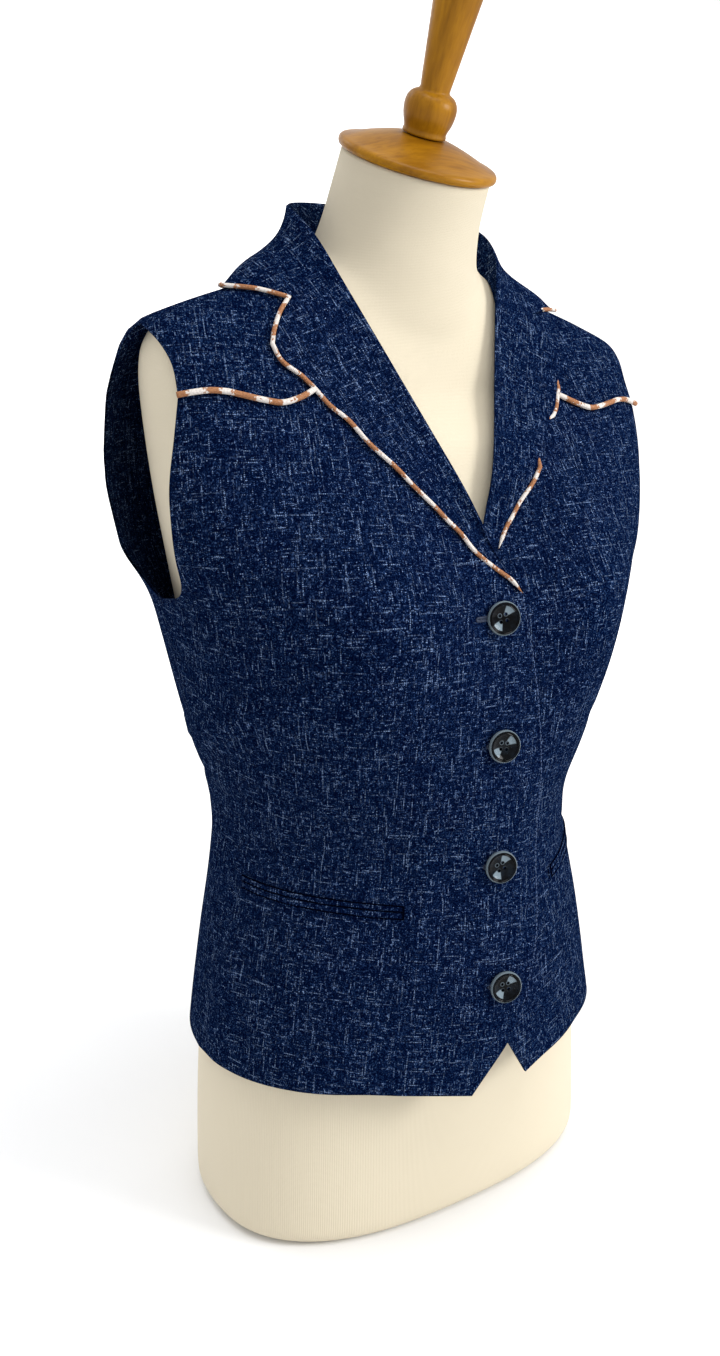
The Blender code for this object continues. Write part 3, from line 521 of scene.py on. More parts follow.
# %% [markdown]
# Now the panels are made: two fronts, two yokes and the one-piece back. Each keeps the outline of
# its solid to a fraction of a millimetre, and gains a smooth surface, a rounded cut edge and the
# creases. The fronts and the back are cut on the straight grain, so their grain simply points up.

# %% The five panels
def show(piece, material, slot, *nodes):
    """Gives a finished piece its material, ties it to the frame and hides the solids it stands for."""
    piece.data.materials.clear()
    piece.data.materials.append(material)
    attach(piece, "root")
    if nodes:
        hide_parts(*nodes)


def cloth_piece(node, grain):
    shape = merged_copy(node)
    crease_rim(shape)
    piece = object_of(node + "_cloth", shape)
    lay_grain(piece, grain)
    finished(piece, SMOOTH_TWICE)
    heights = drape(piece)
    finished(piece, SOFT_RIM)
    show(piece, NAVY_CLOTH, "denim", node)
    print(piece.name, len(piece.data.polygons), "faces, creases from", round(heights.min() * 1000, 2), "to",
          round(heights.max() * 1000, 2), "mm")
    return piece


cloth = {node: cloth_piece(node, (0, 0, 1)) for node in ("front_right", "front_left", "back")}
cloth["yoke_right"] = cloth_piece("yoke_right", (0.10, 0.35, 0.9))
cloth["yoke_left"] = cloth_piece("yoke_left", (-0.10, 0.35, 0.9))

# %% [markdown]
# Where the lapels cross, the right front has to reach well under its lapel, or the form shows through
# a sliver beside the cord. Its corner is drawn in there.

# %% Draw the right front's corner under the lapel
LAPEL_FOOT = Vector((-0.0050, -0.1095, 0.4755))
CORNER_PULL = Vector((0.0095, -0.0006, 0.0040))
CORNER_REACH = 0.011
for vert in cloth["front_right"].data.vertices:
    vert.co += CORNER_PULL * math.exp(-((vert.co - LAPEL_FOOT).length / CORNER_REACH) ** 2)
print("corner drawn in by up to", round(CORNER_PULL.length, 4), "m")

# %% [markdown]
# The collar and lapel are one folded piece on each side, joined at the centre back. Its grain
# follows the roll line, which is why the slubs on a lapel slant against those of the front.

# %% The collar halves
cloth["collar_right"] = cloth_piece("collar_right", (-0.38, 0.50, 0.92))
cloth["collar_left"] = cloth_piece("collar_left", (0.38, 0.50, 0.92))

# %% [markdown]
# The pockets are double welts: two narrow folded strips that meet in the mouth. They are cut across
# the grain, their long folded edges are round, and they are pressed almost flush with the front.

# %% The pocket welts
WELT_PRESS = 0.0011
WELTS = [f"pocket_{side}_welt_{part}" for side in ("right", "left") for part in ("upper", "lower")]
for node in WELTS:
    cloth[node] = cloth_piece(node, (0, 0, 1))
    for vert in cloth[node].data.vertices:
        inward = Vector((-vert.co.x, BODY_MIDDLE_Y - vert.co.y, 0)).normalized()
        vert.co += inward * WELT_PRESS

# %% [markdown]
# The edges are piped with a thin cord covered in a brown and white broken check. The solid is a tube
# of rings, so its middle line can be read back from the mesh: starting at one end cap, each step
# along the edges reaches the next ring. A new round tube is then swept along that line, ring by
# ring, and its map runs along the cord in metres, so that the check follows every turn.

# %% Sweep the piping
SOLID_CORD_SIDES = 6
BACK_OF_THE_NECK = Vector((0, 0.1, 0.7))
FLAT_ANGLE = math.radians(0.5)


def middle_line(node):
    """The middle of each ring of a tube's solid, in order from one end."""
    shape = bmesh.new()
    shape.from_mesh(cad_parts[node].data)
    bmesh.ops.remove_doubles(shape, verts=shape.verts[:], dist=MERGE_DISTANCE)
    bmesh.ops.dissolve_limit(shape, angle_limit=FLAT_ANGLE, verts=[], edges=shape.edges[:])
    ends = [face for face in shape.faces if len(face.verts) == SOLID_CORD_SIDES]
    start = min(ends, key=lambda face: (face.calc_center_median() - BACK_OF_THE_NECK).length)
    ring, seen, middles = set(start.verts), set(start.verts), []
    while ring:
        middles.append(sum((v.co for v in ring), Vector()) / len(ring))
        ring = {edge.other_vert(v) for v in ring for edge in v.link_edges} - seen
        seen |= ring
    shape.free()
    return middles


def smooth_line(points, spacing, corner=math.radians(30)):
    """Points closer together on the same line: curved between its points, but sharp at its corners."""
    sides = [b - a for a, b in zip(points, points[1:])]
    turns = [0.0] + [after.angle(before) for before, after in zip(sides, sides[1:])] + [0.0]
    line = []
    for k, (a, b) in enumerate(zip(points, points[1:])):
        before = points[k - 1] if k and turns[k] < corner else a * 2 - b
        after = points[k + 2] if k + 2 < len(points) and turns[k + 1] < corner else b * 2 - a
        steps = max(1, round((b - a).length / spacing))
        for t in (step / steps for step in range(steps)):
            line.append(0.5 * (2 * a + (b - before) * t + (2 * before - 5 * a + 4 * b - after) * t * t
                               + (3 * a - before - 3 * b + after) * t ** 3))
    return line + [points[-1]]


FIRST_FACING = Vector((0, -1, 0.3))
SHARPEST_MITRE = 0.75
MITRE_FROM = 0.3


def ring_edges(shape, ring):
    return [edge for edge in shape.edges if edge.verts[0] in ring and edge.verts[1] in ring]


def swept_cord(name, line, radius, sides=12, taper=0):
    """A round tube along a line, mapped in metres along and round it. Its last rings can taper."""
    shape = bmesh.new()
    uv = shape.loops.layers.uv.new("UVMap")
    ring = bmesh.ops.create_circle(shape, cap_ends=True, segments=sides, radius=radius)["verts"]
    order = {v: k for k, v in enumerate(ring)}
    facing, travelled, places = FIRST_FACING, 0.0, {}
    for k, middle in enumerate(line):
        if k:
            made = bmesh.ops.extrude_edge_only(shape, edges=ring_edges(shape, order))["geom"]
            order = {v: next(order[e.other_vert(v)] for e in v.link_edges if e.other_vert(v) in order)
                     for v in made if isinstance(v, bmesh.types.BMVert)}
            travelled += (middle - line[k - 1]).length
        before = (middle - line[k - 1]).normalized() if k else (line[1] - middle).normalized()
        after = (line[k + 1] - middle).normalized() if k + 1 < len(line) else before
        along, bend = (before + after).normalized(), after - before
        facing = (facing - along * facing.dot(along)).normalized()
        beside = along.cross(facing)
        widen = 1 / max(along.dot(after), SHARPEST_MITRE)
        for v, place in order.items():
            turned_by = 2 * math.pi * place / sides
            offset = facing * math.cos(turned_by) + beside * math.sin(turned_by)
            if bend.length > MITRE_FROM:
                inward = bend.normalized()
                offset += inward * offset.dot(inward) * (widen - 1)
            v.co = middle + offset * radius * min(1.0, (len(line) - k - 0.4) / (taper + 0.6))
            places[v] = (travelled, place)
    bmesh.ops.contextual_create(shape, geom=ring_edges(shape, order))
    for face in shape.faces:
        rounds = [places[loop.vert][1] for loop in face.loops]
        for loop, turned_by in zip(face.loops, rounds):
            if max(rounds) - min(rounds) > sides / 2 and turned_by == 0:
                turned_by = sides
            loop[uv].uv = (places[loop.vert][0], turned_by / sides * 2 * math.pi * radius)
    bmesh.ops.recalc_face_normals(shape, faces=shape.faces[:])
    piece = object_of(name, shape)
    piece.data.shade_smooth()
    return piece, travelled


# %% [markdown]
# The covering is a small broken check: brown and white blocks about a centimetre long, with stepped
# edges. The blocks come from the distance along the cord, and the steps from a second, finer saw
# that shifts the border between them.

# %% The piping cloth
BLOCK_LENGTH = 0.0095
CHECK_STEP = 0.0007
RAGGEDNESS = 0.0150
DRIFT = 0.016
PIPING_BROWNS = (0.28, 0.115, 0.05), (0.42, 0.19, 0.085)
PIPING_WHITES = (0.62, 0.56, 0.52), (0.80, 0.74, 0.68)


def piping_material():
    material, tree, shader = new_material("checked_piping_cloth", 0.8, 0.3)
    along, round_it, _ = parted(tree, uv_place(tree))
    steps = maths(tree, "SNAP", maths(tree, "PINGPONG", round_it, 2 * CHECK_STEP), CHECK_STEP)
    bits = joined(tree, maths(tree, "SNAP", along, CHECK_STEP), maths(tree, "SNAP", round_it, 0.0008))
    uneven = weighed(tree, (noise(tree, bits, 420.0, 1.0), RAGGEDNESS),
                     (noise(tree, joined(tree, along, 3.0), 60.0, 1.0), DRIFT))
    shifted = maths(tree, "ADD", along, maths(tree, "ADD", maths(tree, "MULTIPLY", steps, 1.2), uneven))
    blocks = maths(tree, "PINGPONG", maths(tree, "DIVIDE", shifted, BLOCK_LENGTH), 1.0)
    twist = maths(tree, "MULTIPLY", maths(tree, "ADD", along, round_it), 2 * math.pi / CHECK_STEP)
    shade = stretch(tree, noise(tree, joined(tree, along, round_it), 900.0), 0.3, 0.7)
    white = colour_mix(tree, shade, *PIPING_WHITES)
    brown = colour_mix(tree, shade, *PIPING_BROWNS)
    tree.links.new(colour_mix(tree, stretch(tree, blocks, 0.44, 0.52), white, brown), shader.inputs["Base Color"])
    bumped(tree, shader, maths(tree, "SINE", twist), 0.00005)
    return material


PIPING_CLOTH = piping_material()

# %% [markdown]
# The collar's cord is half hidden under the leaf, so it looks thinner than the yoke's, and high on
# the left lapel the leaf rolls right over it. The yoke's cord runs on until it meets the collar's.

# %% Lay the four cords
YOKE_CORD_RADIUS = 0.0018
COLLAR_CORD_RADIUS = 0.0014
TUCK = 0.0005
ROLLED_OVER_HEIGHTS = (0.534, 0.541, 0.561, 0.567, 0.586, 0.594)
ROLLED_OVER_SHARES = (0.0, 1.3, 1.3, 0.45, 0.45, 1.5)
ROLLED_OVER_TUCK = 0.0024
ROLLED_OVER_FRONT = (-0.035, -0.010)
RING_SPACING = 0.0022
COLLAR_CORD_TAPER = 4


def surface_of(piece):
    return BVHTree.FromPolygons([v.co for v in piece.data.vertices], [p.vertices for p in piece.data.polygons])


def tucked(line, leaf, rolled_over):
    """A cord's line moved a little under the leaf beside it, and further where the leaf rolls over."""
    moved = []
    for point in line:
        share = float(np.interp(point.z, ROLLED_OVER_HEIGHTS, ROLLED_OVER_SHARES)) * rolled_over
        share *= float(np.interp(point.y, ROLLED_OVER_FRONT, (1, 0)))
        to_leaf = (leaf.find_nearest(point)[0] - point).normalized()
        to_body = Vector((-point.x, BODY_MIDDLE_Y - point.y, 0)).normalized()
        moved.append(point + to_leaf * (TUCK + share * ROLLED_OVER_TUCK) + to_body * share * ROLLED_OVER_TUCK)
    return moved


def met(line, other):
    """A line run on from its nearer end to the nearest place on another line."""
    near = min(other, key=lambda p: min((p - line[0]).length, (p - line[-1]).length))
    return [near] + line if (near - line[0]).length < (near - line[-1]).length else line + [near]


piping, cord_lines = {}, {}
for side in ("right", "left"):
    collar_node, yoke_node = f"piping_collar_{side}", f"piping_yoke_{side}"
    line = smooth_line(middle_line(collar_node), RING_SPACING)
    line = tucked(line, surface_of(cloth[f"collar_{side}"]), side == "left")
    cord_lines[collar_node] = (line, COLLAR_CORD_RADIUS)
    cord_lines[yoke_node] = (smooth_line(met(middle_line(yoke_node), line), RING_SPACING), YOKE_CORD_RADIUS)
for node, (line, radius) in cord_lines.items():
    taper = COLLAR_CORD_TAPER if "collar" in node else 0
    piping[node], length = swept_cord(node + "_cord", line, radius, taper=taper)
    drape(piping[node])
    show(piping[node], PIPING_CLOTH, "piping", node)
    print(node, round(length, 3), "m long,", len(line), "rings")

# %% [markdown]
# Turned and pressed parts are found from their solids: the middle of the points is the place, and
# the direction in which they spread least, or for the finial most, is the axis.

# %% Find a turned part's axis
SPUN_SHARP_ANGLE = math.radians(40)


def axis_of(node, longest, towards):
    """A matrix with its Z on a turned solid's axis and its origin at the solid's foot."""
    solid = merged_copy(node)
    points = np.array([v.co for v in solid.verts])
    solid.free()
    middle = points.mean(axis=0)
    _, directions = np.linalg.eigh(np.cov((points - middle).T))
    axis = Vector(directions[:, 2 if longest else 0])
    if axis.dot(Vector(towards)) < 0:
        axis = -axis
    foot = Vector(middle) + axis * min((Vector(p - middle)).dot(axis) for p in points)
    return Matrix.Translation(foot) @ axis.to_track_quat("Z", "Y").to_matrix().to_4x4()


def spun(name, profile, steps, place):
    """A turned piece: a profile of (radius, height) in millimetres spun round and moved into place."""
    shape = bmesh.new()
    dots = [shape.verts.new((radius / 1000, 0, height / 1000)) for radius, height in profile]
    lines = [shape.edges.new(pair) for pair in zip(dots, dots[1:])]
    bmesh.ops.spin(shape, geom=dots + lines, axis=(0, 0, 1), cent=(0, 0, 0), angle=2 * math.pi, steps=steps,
                   use_merge=True, use_duplicate=False)
    bmesh.ops.remove_doubles(shape, verts=shape.verts[:], dist=0.000005)
    bmesh.ops.recalc_face_normals(shape, faces=shape.faces[:])
    bmesh.ops.transform(shape, matrix=place, verts=shape.verts[:])
    piece = object_of(name, shape)
    piece.data.shade_smooth()
    piece.data.set_sharp_from_angle(angle=SPUN_SHARP_ANGLE)
    return piece


# %% [markdown]
# The buttons are dark polished horn with four holes. Their colour carries painted highlights for the light
# that the turned dish and rim reflect: two pale fans on the dish, a thin pale ring on the rim and a bright
# lower edge at each hole, drawn on the button's own front view in metres. The profile is spun, then a
# Boolean cuts the holes, because a bored hole has a wall that a painted dot lacks. A short neck of thread
# behind each one holds it a little off the cloth.

# %% The buttons
HOLE_SPREAD = 0.0021
HOLE_RADIUS = 0.00105
# The dish band, the rim band, the fan turn and the shares place the painted highlights, and the last horn colour
# is the highlight colour.
DISH_HIGHLIGHT_BAND = (0.0030, 0.0046), (0.0083, 0.0077)
RIM_HIGHLIGHT_BAND = (0.0101, 0.0104), (0.0113, 0.0111)
HIGHLIGHT_FAN_TURN = 0.75
FAN_HIGHLIGHT_SHARE, RIM_HIGHLIGHT_SHARE, HOLE_GLINT_SHARE = 0.75, 0.5, 0.35
HORN_DARK, HORN_SMOKE, HORN_HIGHLIGHT = (0.0006, 0.0009, 0.0016), (0.006, 0.010, 0.016), (0.24, 0.31, 0.36)


def band(tree, value, rise, fall):
    """A mask that rises and falls again between two pairs of values."""
    return maths(tree, "MULTIPLY", stretch(tree, value, *rise), stretch(tree, value, *fall))


def button_material():
    material, tree, shader = new_material("dark_horn_button", 0.12, 0.1)
    smoke = stretch(tree, noise(tree, object_place(tree), 130.0, 3.0, 0.6), 0.42, 0.78)
    x, y, _ = parted(tree, uv_place(tree))
    out = maths(tree, "SQRT", weighed(tree, (x, x), (y, y)))
    # Painted highlights: two fans on the dish and a pale ring on the rim, where the turned surface would reflect
    # the light, and a bright lower edge at each hole.
    angle = maths(tree, "SUBTRACT", maths(tree, "ARCTAN2", y, x), HIGHLIGHT_FAN_TURN)
    fan_highlight = stretch(tree, maths(tree, "COSINE", maths(tree, "MULTIPLY", angle, 2.0)), 0.55, 0.75)
    fan_highlight = maths(tree, "MULTIPLY", fan_highlight, band(tree, out, *DISH_HIGHLIGHT_BAND))
    from_hole = [maths(tree, "SUBTRACT", maths(tree, "ABSOLUTE", side), HOLE_SPREAD) for side in (x, y)]
    from_hole = maths(tree, "SQRT", weighed(tree, *((side, side) for side in from_hole)))
    hole_glint = maths(tree, "MULTIPLY", stretch(tree, from_hole, HOLE_RADIUS + 0.0007, HOLE_RADIUS + 0.0002),
                      stretch(tree, y, -0.0030, 0.0026))
    # pale gathers all the painted highlights of the button.
    pale = maths(tree, "MAXIMUM", maths(tree, "MULTIPLY", fan_highlight, FAN_HIGHLIGHT_SHARE),
                 maths(tree, "MULTIPLY", band(tree, out, *RIM_HIGHLIGHT_BAND), RIM_HIGHLIGHT_SHARE))
    pale = maths(tree, "MAXIMUM", pale, maths(tree, "MULTIPLY", hole_glint, HOLE_GLINT_SHARE))
    horn = colour_mix(tree, smoke, HORN_DARK, HORN_SMOKE)
    tree.links.new(colour_mix(tree, pale, horn, HORN_HIGHLIGHT), shader.inputs["Base Color"])
    return material


def thread_material(name, roughness, specular, ply_scale, dark, pale, relief=0.0):
    """Sewing thread, twisted from fine plies."""
    material, tree, shader = new_material(name, roughness, specular)
    ply = noise(tree, object_place(tree), ply_scale)
    tree.links.new(colour_mix(tree, ply, dark, pale), shader.inputs["Base Color"])
    if relief:
        bumped(tree, shader, ply, relief)
    return material


BUTTON_HORN = button_material()
NAVY_THREAD = thread_material("navy_sewing_thread", 0.6, 0.5, 1400.0, (0.004, 0.008, 0.022), (0.03, 0.05, 0.11),
                              relief=0.00008)
BUTTON_PROFILE = (
    (0, 0), (7.0, 0), (9.2, 0.4), (10.6, 1.4), (11.05, 2.6), (11.0, 3.4), (10.7, 4.1), (10.3, 4.4), (9.9, 4.3),
    (9.6, 3.9), (9.3, 3.5), (9.0, 3.4), (8.7, 3.6), (8.4, 3.7), (8.0, 3.5), (7.0, 2.9), (5.5, 2.4), (3.5, 2.1),
    (0, 2.0),
)
BUTTON_TURNS = (12, -8, 20, 5)
SHANK_RADIUS = 0.0022
SHANK_LENGTH = 0.0032
SHANK_OVERLAP = 0.0002


def hole_cutter(place):
    shape = bmesh.new()
    for sx, sy in ((-1, -1), (-1, 1), (1, -1), (1, 1)):
        bmesh.ops.create_cone(shape, cap_ends=True, segments=16, radius1=HOLE_RADIUS, radius2=HOLE_RADIUS,
                              depth=0.02, matrix=Matrix.Translation((sx * HOLE_SPREAD, sy * HOLE_SPREAD, 0)))
    bmesh.ops.transform(shape, matrix=place, verts=shape.verts[:])
    return object_of("hole_cutter", shape)


def shank(node, place):
    shape = bmesh.new()
    verts = bmesh.ops.create_cone(shape, cap_ends=True, segments=16, radius1=SHANK_RADIUS,
                                  radius2=SHANK_RADIUS * 0.8, depth=SHANK_LENGTH)["verts"]
    down = Matrix.Translation((0, 0, SHANK_OVERLAP - SHANK_LENGTH / 2))
    bmesh.ops.transform(shape, matrix=place @ down, verts=verts)
    thread = object_of(node + "_thread", shape)
    thread.data.shade_smooth()
    show(thread, NAVY_THREAD, "button")


def button(number):
    node = f"button_{number}"
    tilt = Matrix.Rotation(math.radians(BUTTON_TURNS[number - 1]), 4, "Z")
    place = axis_of(node, False, (0, -1, 0)) @ tilt
    piece = spun(node + "_horn", BUTTON_PROFILE, 48, place)
    layer = piece.data.uv_layers.new(name="UVMap")
    for loop in piece.data.loops:
        layer.data[loop.index].uv = (place.inverted() @ piece.data.vertices[loop.vertex_index].co).xy
    cutter = hole_cutter(place)
    finished(piece, ("BOOLEAN", {"object": cutter, "operation": "DIFFERENCE", "solver": "EXACT"}))
    piece.data.set_sharp_from_angle(angle=SPUN_SHARP_ANGLE)
    bpy.data.objects.remove(cutter)
    show(piece, BUTTON_HORN, "button", node)
    shank(node, place)
    return piece


buttons = [button(number) for number in (1, 2, 3, 4)]
print("buttons:", [len(piece.data.polygons) for piece in buttons])

# %% [markdown]
# The buttonholes lie across the right front and show beside the buttons. Each is a slim loop of
# close satin stitches in navy thread round a slit. The loop is set on the cloth by casting rays at
# it, so it follows the panel's curve.

# %% The buttonholes
HOLE_START = 0.0105
HOLE_LENGTH = 0.0215
HOLE_WIDTH = 0.0018
HOLE_SHIFTS = (0.0085, 0.0, 0.0, 0.0)
STITCH_PITCH = 0.0006
SATIN_BEAD = (0.0011, 0.00036, 0.0005)
SATIN_LIFT = 0.0002
RAY_START_Y = -0.4

right_surface = surface_of(cloth["front_right"])


def on_right_front(x, z):
    """The place and the outward direction of the right front at x and z."""
    hit, normal, _, _ = right_surface.ray_cast(Vector((x, RAY_START_Y, z)), Vector((0, 1, 0)))
    return hit, normal


def round_slot(way, straight, half_width):
    """A place on a slim loop with round ends, and the direction outwards, at a way along the loop."""
    bow = math.pi * half_width
    if way < straight:
        start, angle = way, math.pi / 2
    elif way < straight + bow:
        start, angle = straight, math.pi / 2 - (way - straight) / half_width
    elif way < 2 * straight + bow:
        start, angle = 2 * straight + bow - way, -math.pi / 2
    else:
        start, angle = 0, -math.pi / 2 - (way - 2 * straight - bow) / half_width
    out = (math.cos(angle), math.sin(angle))
    return (start + out[0] * half_width, out[1] * half_width), out


def satin_stitch(shape, x, z, out_x, out_z):
    place, normal = on_right_front(x, z)
    if place is None:
        return
    over = Vector((out_x, 0, out_z))
    over = (over - normal * over.dot(normal)).normalized()
    matrix = Matrix((over, normal.cross(over), normal)).transposed().to_4x4()
    matrix.translation = place + normal * SATIN_LIFT
    bead = bmesh.ops.create_icosphere(shape, subdivisions=1, radius=1.0)["verts"]
    bmesh.ops.transform(shape, matrix=matrix @ Matrix.Diagonal((*SATIN_BEAD, 1)), verts=bead)


def buttonhole(number):
    middle = (Vector(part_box(f"button_{number}")[0]) + Vector(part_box(f"button_{number}")[1])) / 2
    straight = HOLE_LENGTH - HOLE_WIDTH
    rounds = 2 * straight + math.pi * HOLE_WIDTH
    count = round(rounds / STITCH_PITCH)
    start = middle.x + HOLE_START - HOLE_SHIFTS[number - 1]
    shape = bmesh.new()
    for step in range(count):
        spot, out = round_slot(rounds * step / count, straight, HOLE_WIDTH / 2)
        satin_stitch(shape, start - spot[0], middle.z + spot[1], -out[0], out[1])
    piece = object_of(f"buttonhole_{number}", shape)
    piece.data.shade_smooth()
    show(piece, NAVY_THREAD, "button")
    return piece


buttonholes = [buttonhole(number) for number in (1, 2, 3, 4)]
print("buttonholes:", [len(piece.data.polygons) for piece in buttonholes])

# %% [markdown]
# Each pocket shows three dark lines, the seam above, the slit and the seam below, and a short bar at
# its front end. They are fine cords pressed along the long edges of the two welts. The three lines are
# painted shadow: their near-black stands for the shade in the seams and the slit, and the bar is drawn in
# the same near-black.

# %% The pockets' seams
# The near-black is painted shadow, for the shade in the seams and the slit.
SEAM_SHADE, _, seam_shader = new_material("shaded_seam", 0.9, 0.0)
seam_shader.inputs["Base Color"].default_value = (0.0004, 0.0008, 0.0045, 1)
SEAM_RADIUS = 0.00045
BAR_RADIUS = 0.0007
EDGE_PLACES = 14
EDGE_WINDOW = 0.03
EDGE_DEPTH = 0.0007


def long_edge(node, upper):
    """Places along a welt's upper or lower edge on its outer side, from the side to the front."""
    points = np.array([v.co for v in cloth[node].data.vertices])
    outward = points[:, :2] - (0, BODY_MIDDLE_Y)
    angle = abs(np.arctan2(outward[:, 0], -outward[:, 1]))
    reach = np.linalg.norm(outward, axis=1)
    found = []
    for middle in np.linspace(angle.max(), angle.min(), EDGE_PLACES):
        inside = abs(angle - middle) < EDGE_WINDOW
        order = points[inside, 2] * (1 if upper else -1)
        edge = order > order.max() - EDGE_DEPTH
        found.append(Vector(points[inside][edge][np.argmax(reach[inside][edge])]))
    return found


for side in ("right", "left"):
    upper_welt, lower_welt = f"pocket_{side}_welt_upper", f"pocket_{side}_welt_lower"
    edges = {"top": long_edge(upper_welt, True), "slit": long_edge(upper_welt, False),
             "bottom": long_edge(lower_welt, False)}
    for name, line in edges.items():
        cord, _ = swept_cord(f"pocket_{side}_{name}_seam", smooth_line(line, 0.003), SEAM_RADIUS, sides=6)
        show(cord, SEAM_SHADE, "denim")
    bar, _ = swept_cord(f"pocket_{side}_bar", [line[-1] for line in edges.values()], BAR_RADIUS, sides=8)
    show(bar, SEAM_SHADE, "denim")
    print(side, "pocket's lines:", len(edges), "with", EDGE_PLACES, "places each")

# %% [markdown]
# A paler row of stitches marks the front edge from the lapel to the hem. It is partly topstitching and
# partly a painted highlight for the lit rim of that edge. Real stitches would be cords that dip in and
# out. At this size a row of small beads reads the same and costs far fewer faces.

# %% The front edge's stitches
# The pale thread also serves as a painted highlight for the lit rim of the front edge.
EDGE_THREAD_AND_HIGHLIGHT = thread_material("pale_thread_and_edge_highlight", 0.8, 0.0, 900.0, (0.012, 0.026, 0.075), (0.14, 0.20, 0.36))
STITCH_STEP = 0.0027
STITCH_SIZE = (0.00048, 0.00040, 0.0011)
STITCH_INSET = 0.0014
STITCH_LIFT = 0.0001
STITCH_HEIGHTS = (0.168, 0.452)
EDGE_SLICE = 0.004

points = np.array([v.co for v in cloth["front_right"].data.vertices])
shape = bmesh.new()
for height in np.arange(*STITCH_HEIGHTS, STITCH_STEP):
    near = points[(abs(points[:, 2] - height) < EDGE_SLICE) & (points[:, 1] < 0)]
    place, normal = on_right_front(near[:, 0].max() - STITCH_INSET, height)
    if place is not None:
        stitch = bmesh.ops.create_icosphere(shape, subdivisions=1, radius=1.0)["verts"]
        matrix = Matrix.Translation(place + normal * STITCH_LIFT) @ Matrix.Diagonal((*STITCH_SIZE, 1))
        bmesh.ops.transform(shape, matrix=matrix, verts=stitch)
edge_stitches_and_highlight = object_of("front_edge_stitches", shape)
edge_stitches_and_highlight.data.shade_smooth()
show(edge_stitches_and_highlight, EDGE_THREAD_AND_HIGHLIGHT, "denim")
print("front edge stitches:", len(edge_stitches_and_highlight.data.polygons) // 20)

# %% [markdown]
# The dress form is a padded body covered in cream jersey. Fine ribs run up the knit, which the
# material draws from a map wrapped round the body: the angle gives one direction and the height the
# other. The grooves between the ribs are darkened as painted shade. Soft patches keep the large plain
# surface from looking like plastic.

# %% The jersey
RIB_PITCH = 0.0011
ROW_PITCH = 0.0009
JERSEY_PATCHES = (0.73, 0.65, 0.49), (0.77, 0.69, 0.53)
# The darker colour is painted shade in the grooves between the ribs.
JERSEY_GROOVE_SHADE = (0.68, 0.60, 0.45)


def jersey_material():
    material, tree, shader = new_material("cream_jersey", 0.85, 0.25)
    across, up, _ = parted(tree, uv_place(tree))
    ribs = maths(tree, "SINE", maths(tree, "MULTIPLY", across, 2 * math.pi / RIB_PITCH))
    rows = maths(tree, "SINE", maths(tree, "MULTIPLY", up, 2 * math.pi / ROW_PITCH))
    soft = stretch(tree, noise(tree, object_place(tree), 9.0, 3.0), 0.3, 0.7)
    # Painted shade: the colour darkens towards the grooves between the ribs.
    clear_of_groove_shade = maths(tree, "MULTIPLY", stretch(tree, ribs, -1.0, 0.2), 0.5)
    base = colour_mix(tree, clear_of_groove_shade, JERSEY_GROOVE_SHADE, colour_mix(tree, soft, *JERSEY_PATCHES))
    tree.links.new(base, shader.inputs["Base Color"])
    shader.inputs["Sheen Weight"].default_value = 0.1
    bumped(tree, shader, weighed(tree, (ribs, 0.7), (rows, 0.3)), 0.00008)
    return material


CREAM_JERSEY = jersey_material()
print("jersey nodes:", len(CREAM_JERSEY.node_tree.nodes))

# %% [markdown]
# The form's solid has facets, so a copy is smoothed, and only its sharp foot and neck edges are
# creased. A face that crosses the seam of the map at the centre back gets its angles past half a
# turn, or the ribs would run backwards through it.

# %% The form
FORM_RADIUS = 0.13


def wrap_map(piece, radius):
    """A map in metres wrapped round the body, with its seam at the centre back."""
    layer = piece.data.uv_layers.new(name="UVMap")
    for face in piece.data.polygons:
        corners = [piece.data.vertices[piece.data.loops[index].vertex_index].co for index in face.loop_indices]
        around = [math.atan2(co.x, BODY_MIDDLE_Y - co.y) for co in corners]
        crosses = max(around) - min(around) > math.pi
        for index, angle, co in zip(face.loop_indices, around, corners):
            if crosses and angle < 0:
                angle += 2 * math.pi
            layer.data[index].uv = (angle * radius, co.z)


shape = merged_copy("form_body")
crease_layer = shape.edges.layers.float.new("crease_edge")
for edge in shape.edges:
    if edge.calc_face_angle(0) > RIM_ANGLE:
        edge[crease_layer] = 1.0
form = finished(object_of("form_jersey", shape), SMOOTH_TWICE)
wrap_map(form, FORM_RADIUS)
show(form, CREAM_JERSEY, "jersey", "form_body")
print("form:", len(form.data.polygons), "faces")

# %% [markdown]
# The neck is closed by a turned wooden cap, and a turned handle stands on it. Both are spun from
# profiles with real beads and hollows. The wood is honey coloured under varnish: long wavy grain on
# coordinates turned to the leaning axis, fine pores, and a clear coat.

# %% The wood
NECK_LEAN = math.radians(26.9)
CAP_PROFILE = (
    (0, 0), (49.5, 0), (51.4, 0.3), (52.5, 1.0), (53.0, 2.2), (53.0, 3.5), (52.6, 4.6), (51.7, 5.5), (50.3, 6.1),
    (48.5, 6.4), (43.0, 8.2), (38.0, 10.0), (32.0, 12.0), (26.0, 13.8), (21.0, 15.1), (17.0, 15.9), (14.5, 16.2),
    (0, 16.4),
)
HANDLE_PROFILE = (
    (0, 0), (13.3, 0), (13.8, 0.1), (14.3, 0.6), (14.5, 1.3), (14.3, 2.1), (14.0, 2.8), (14.3, 4.2), (15.0, 6.2),
    (15.8, 8.3), (16.4, 10.4), (16.9, 13.0), (17.1, 15.8), (16.9, 18.3), (16.2, 20.7), (14.9, 22.8), (13.2, 24.3),
    (11.2, 25.3), (10.1, 25.9), (9.7, 26.8), (9.8, 28.5), (10.5, 34.5), (11.2, 41.5), (12.3, 52.0), (13.5, 63.5),
    (14.8, 75.5), (16.0, 86.5), (16.9, 96.5), (17.5, 105.5), (17.7, 111.5), (17.5, 117.0), (16.8, 122.0),
    (15.3, 126.0), (13.0, 128.5), (10.0, 129.9), (0, 130.5),
)
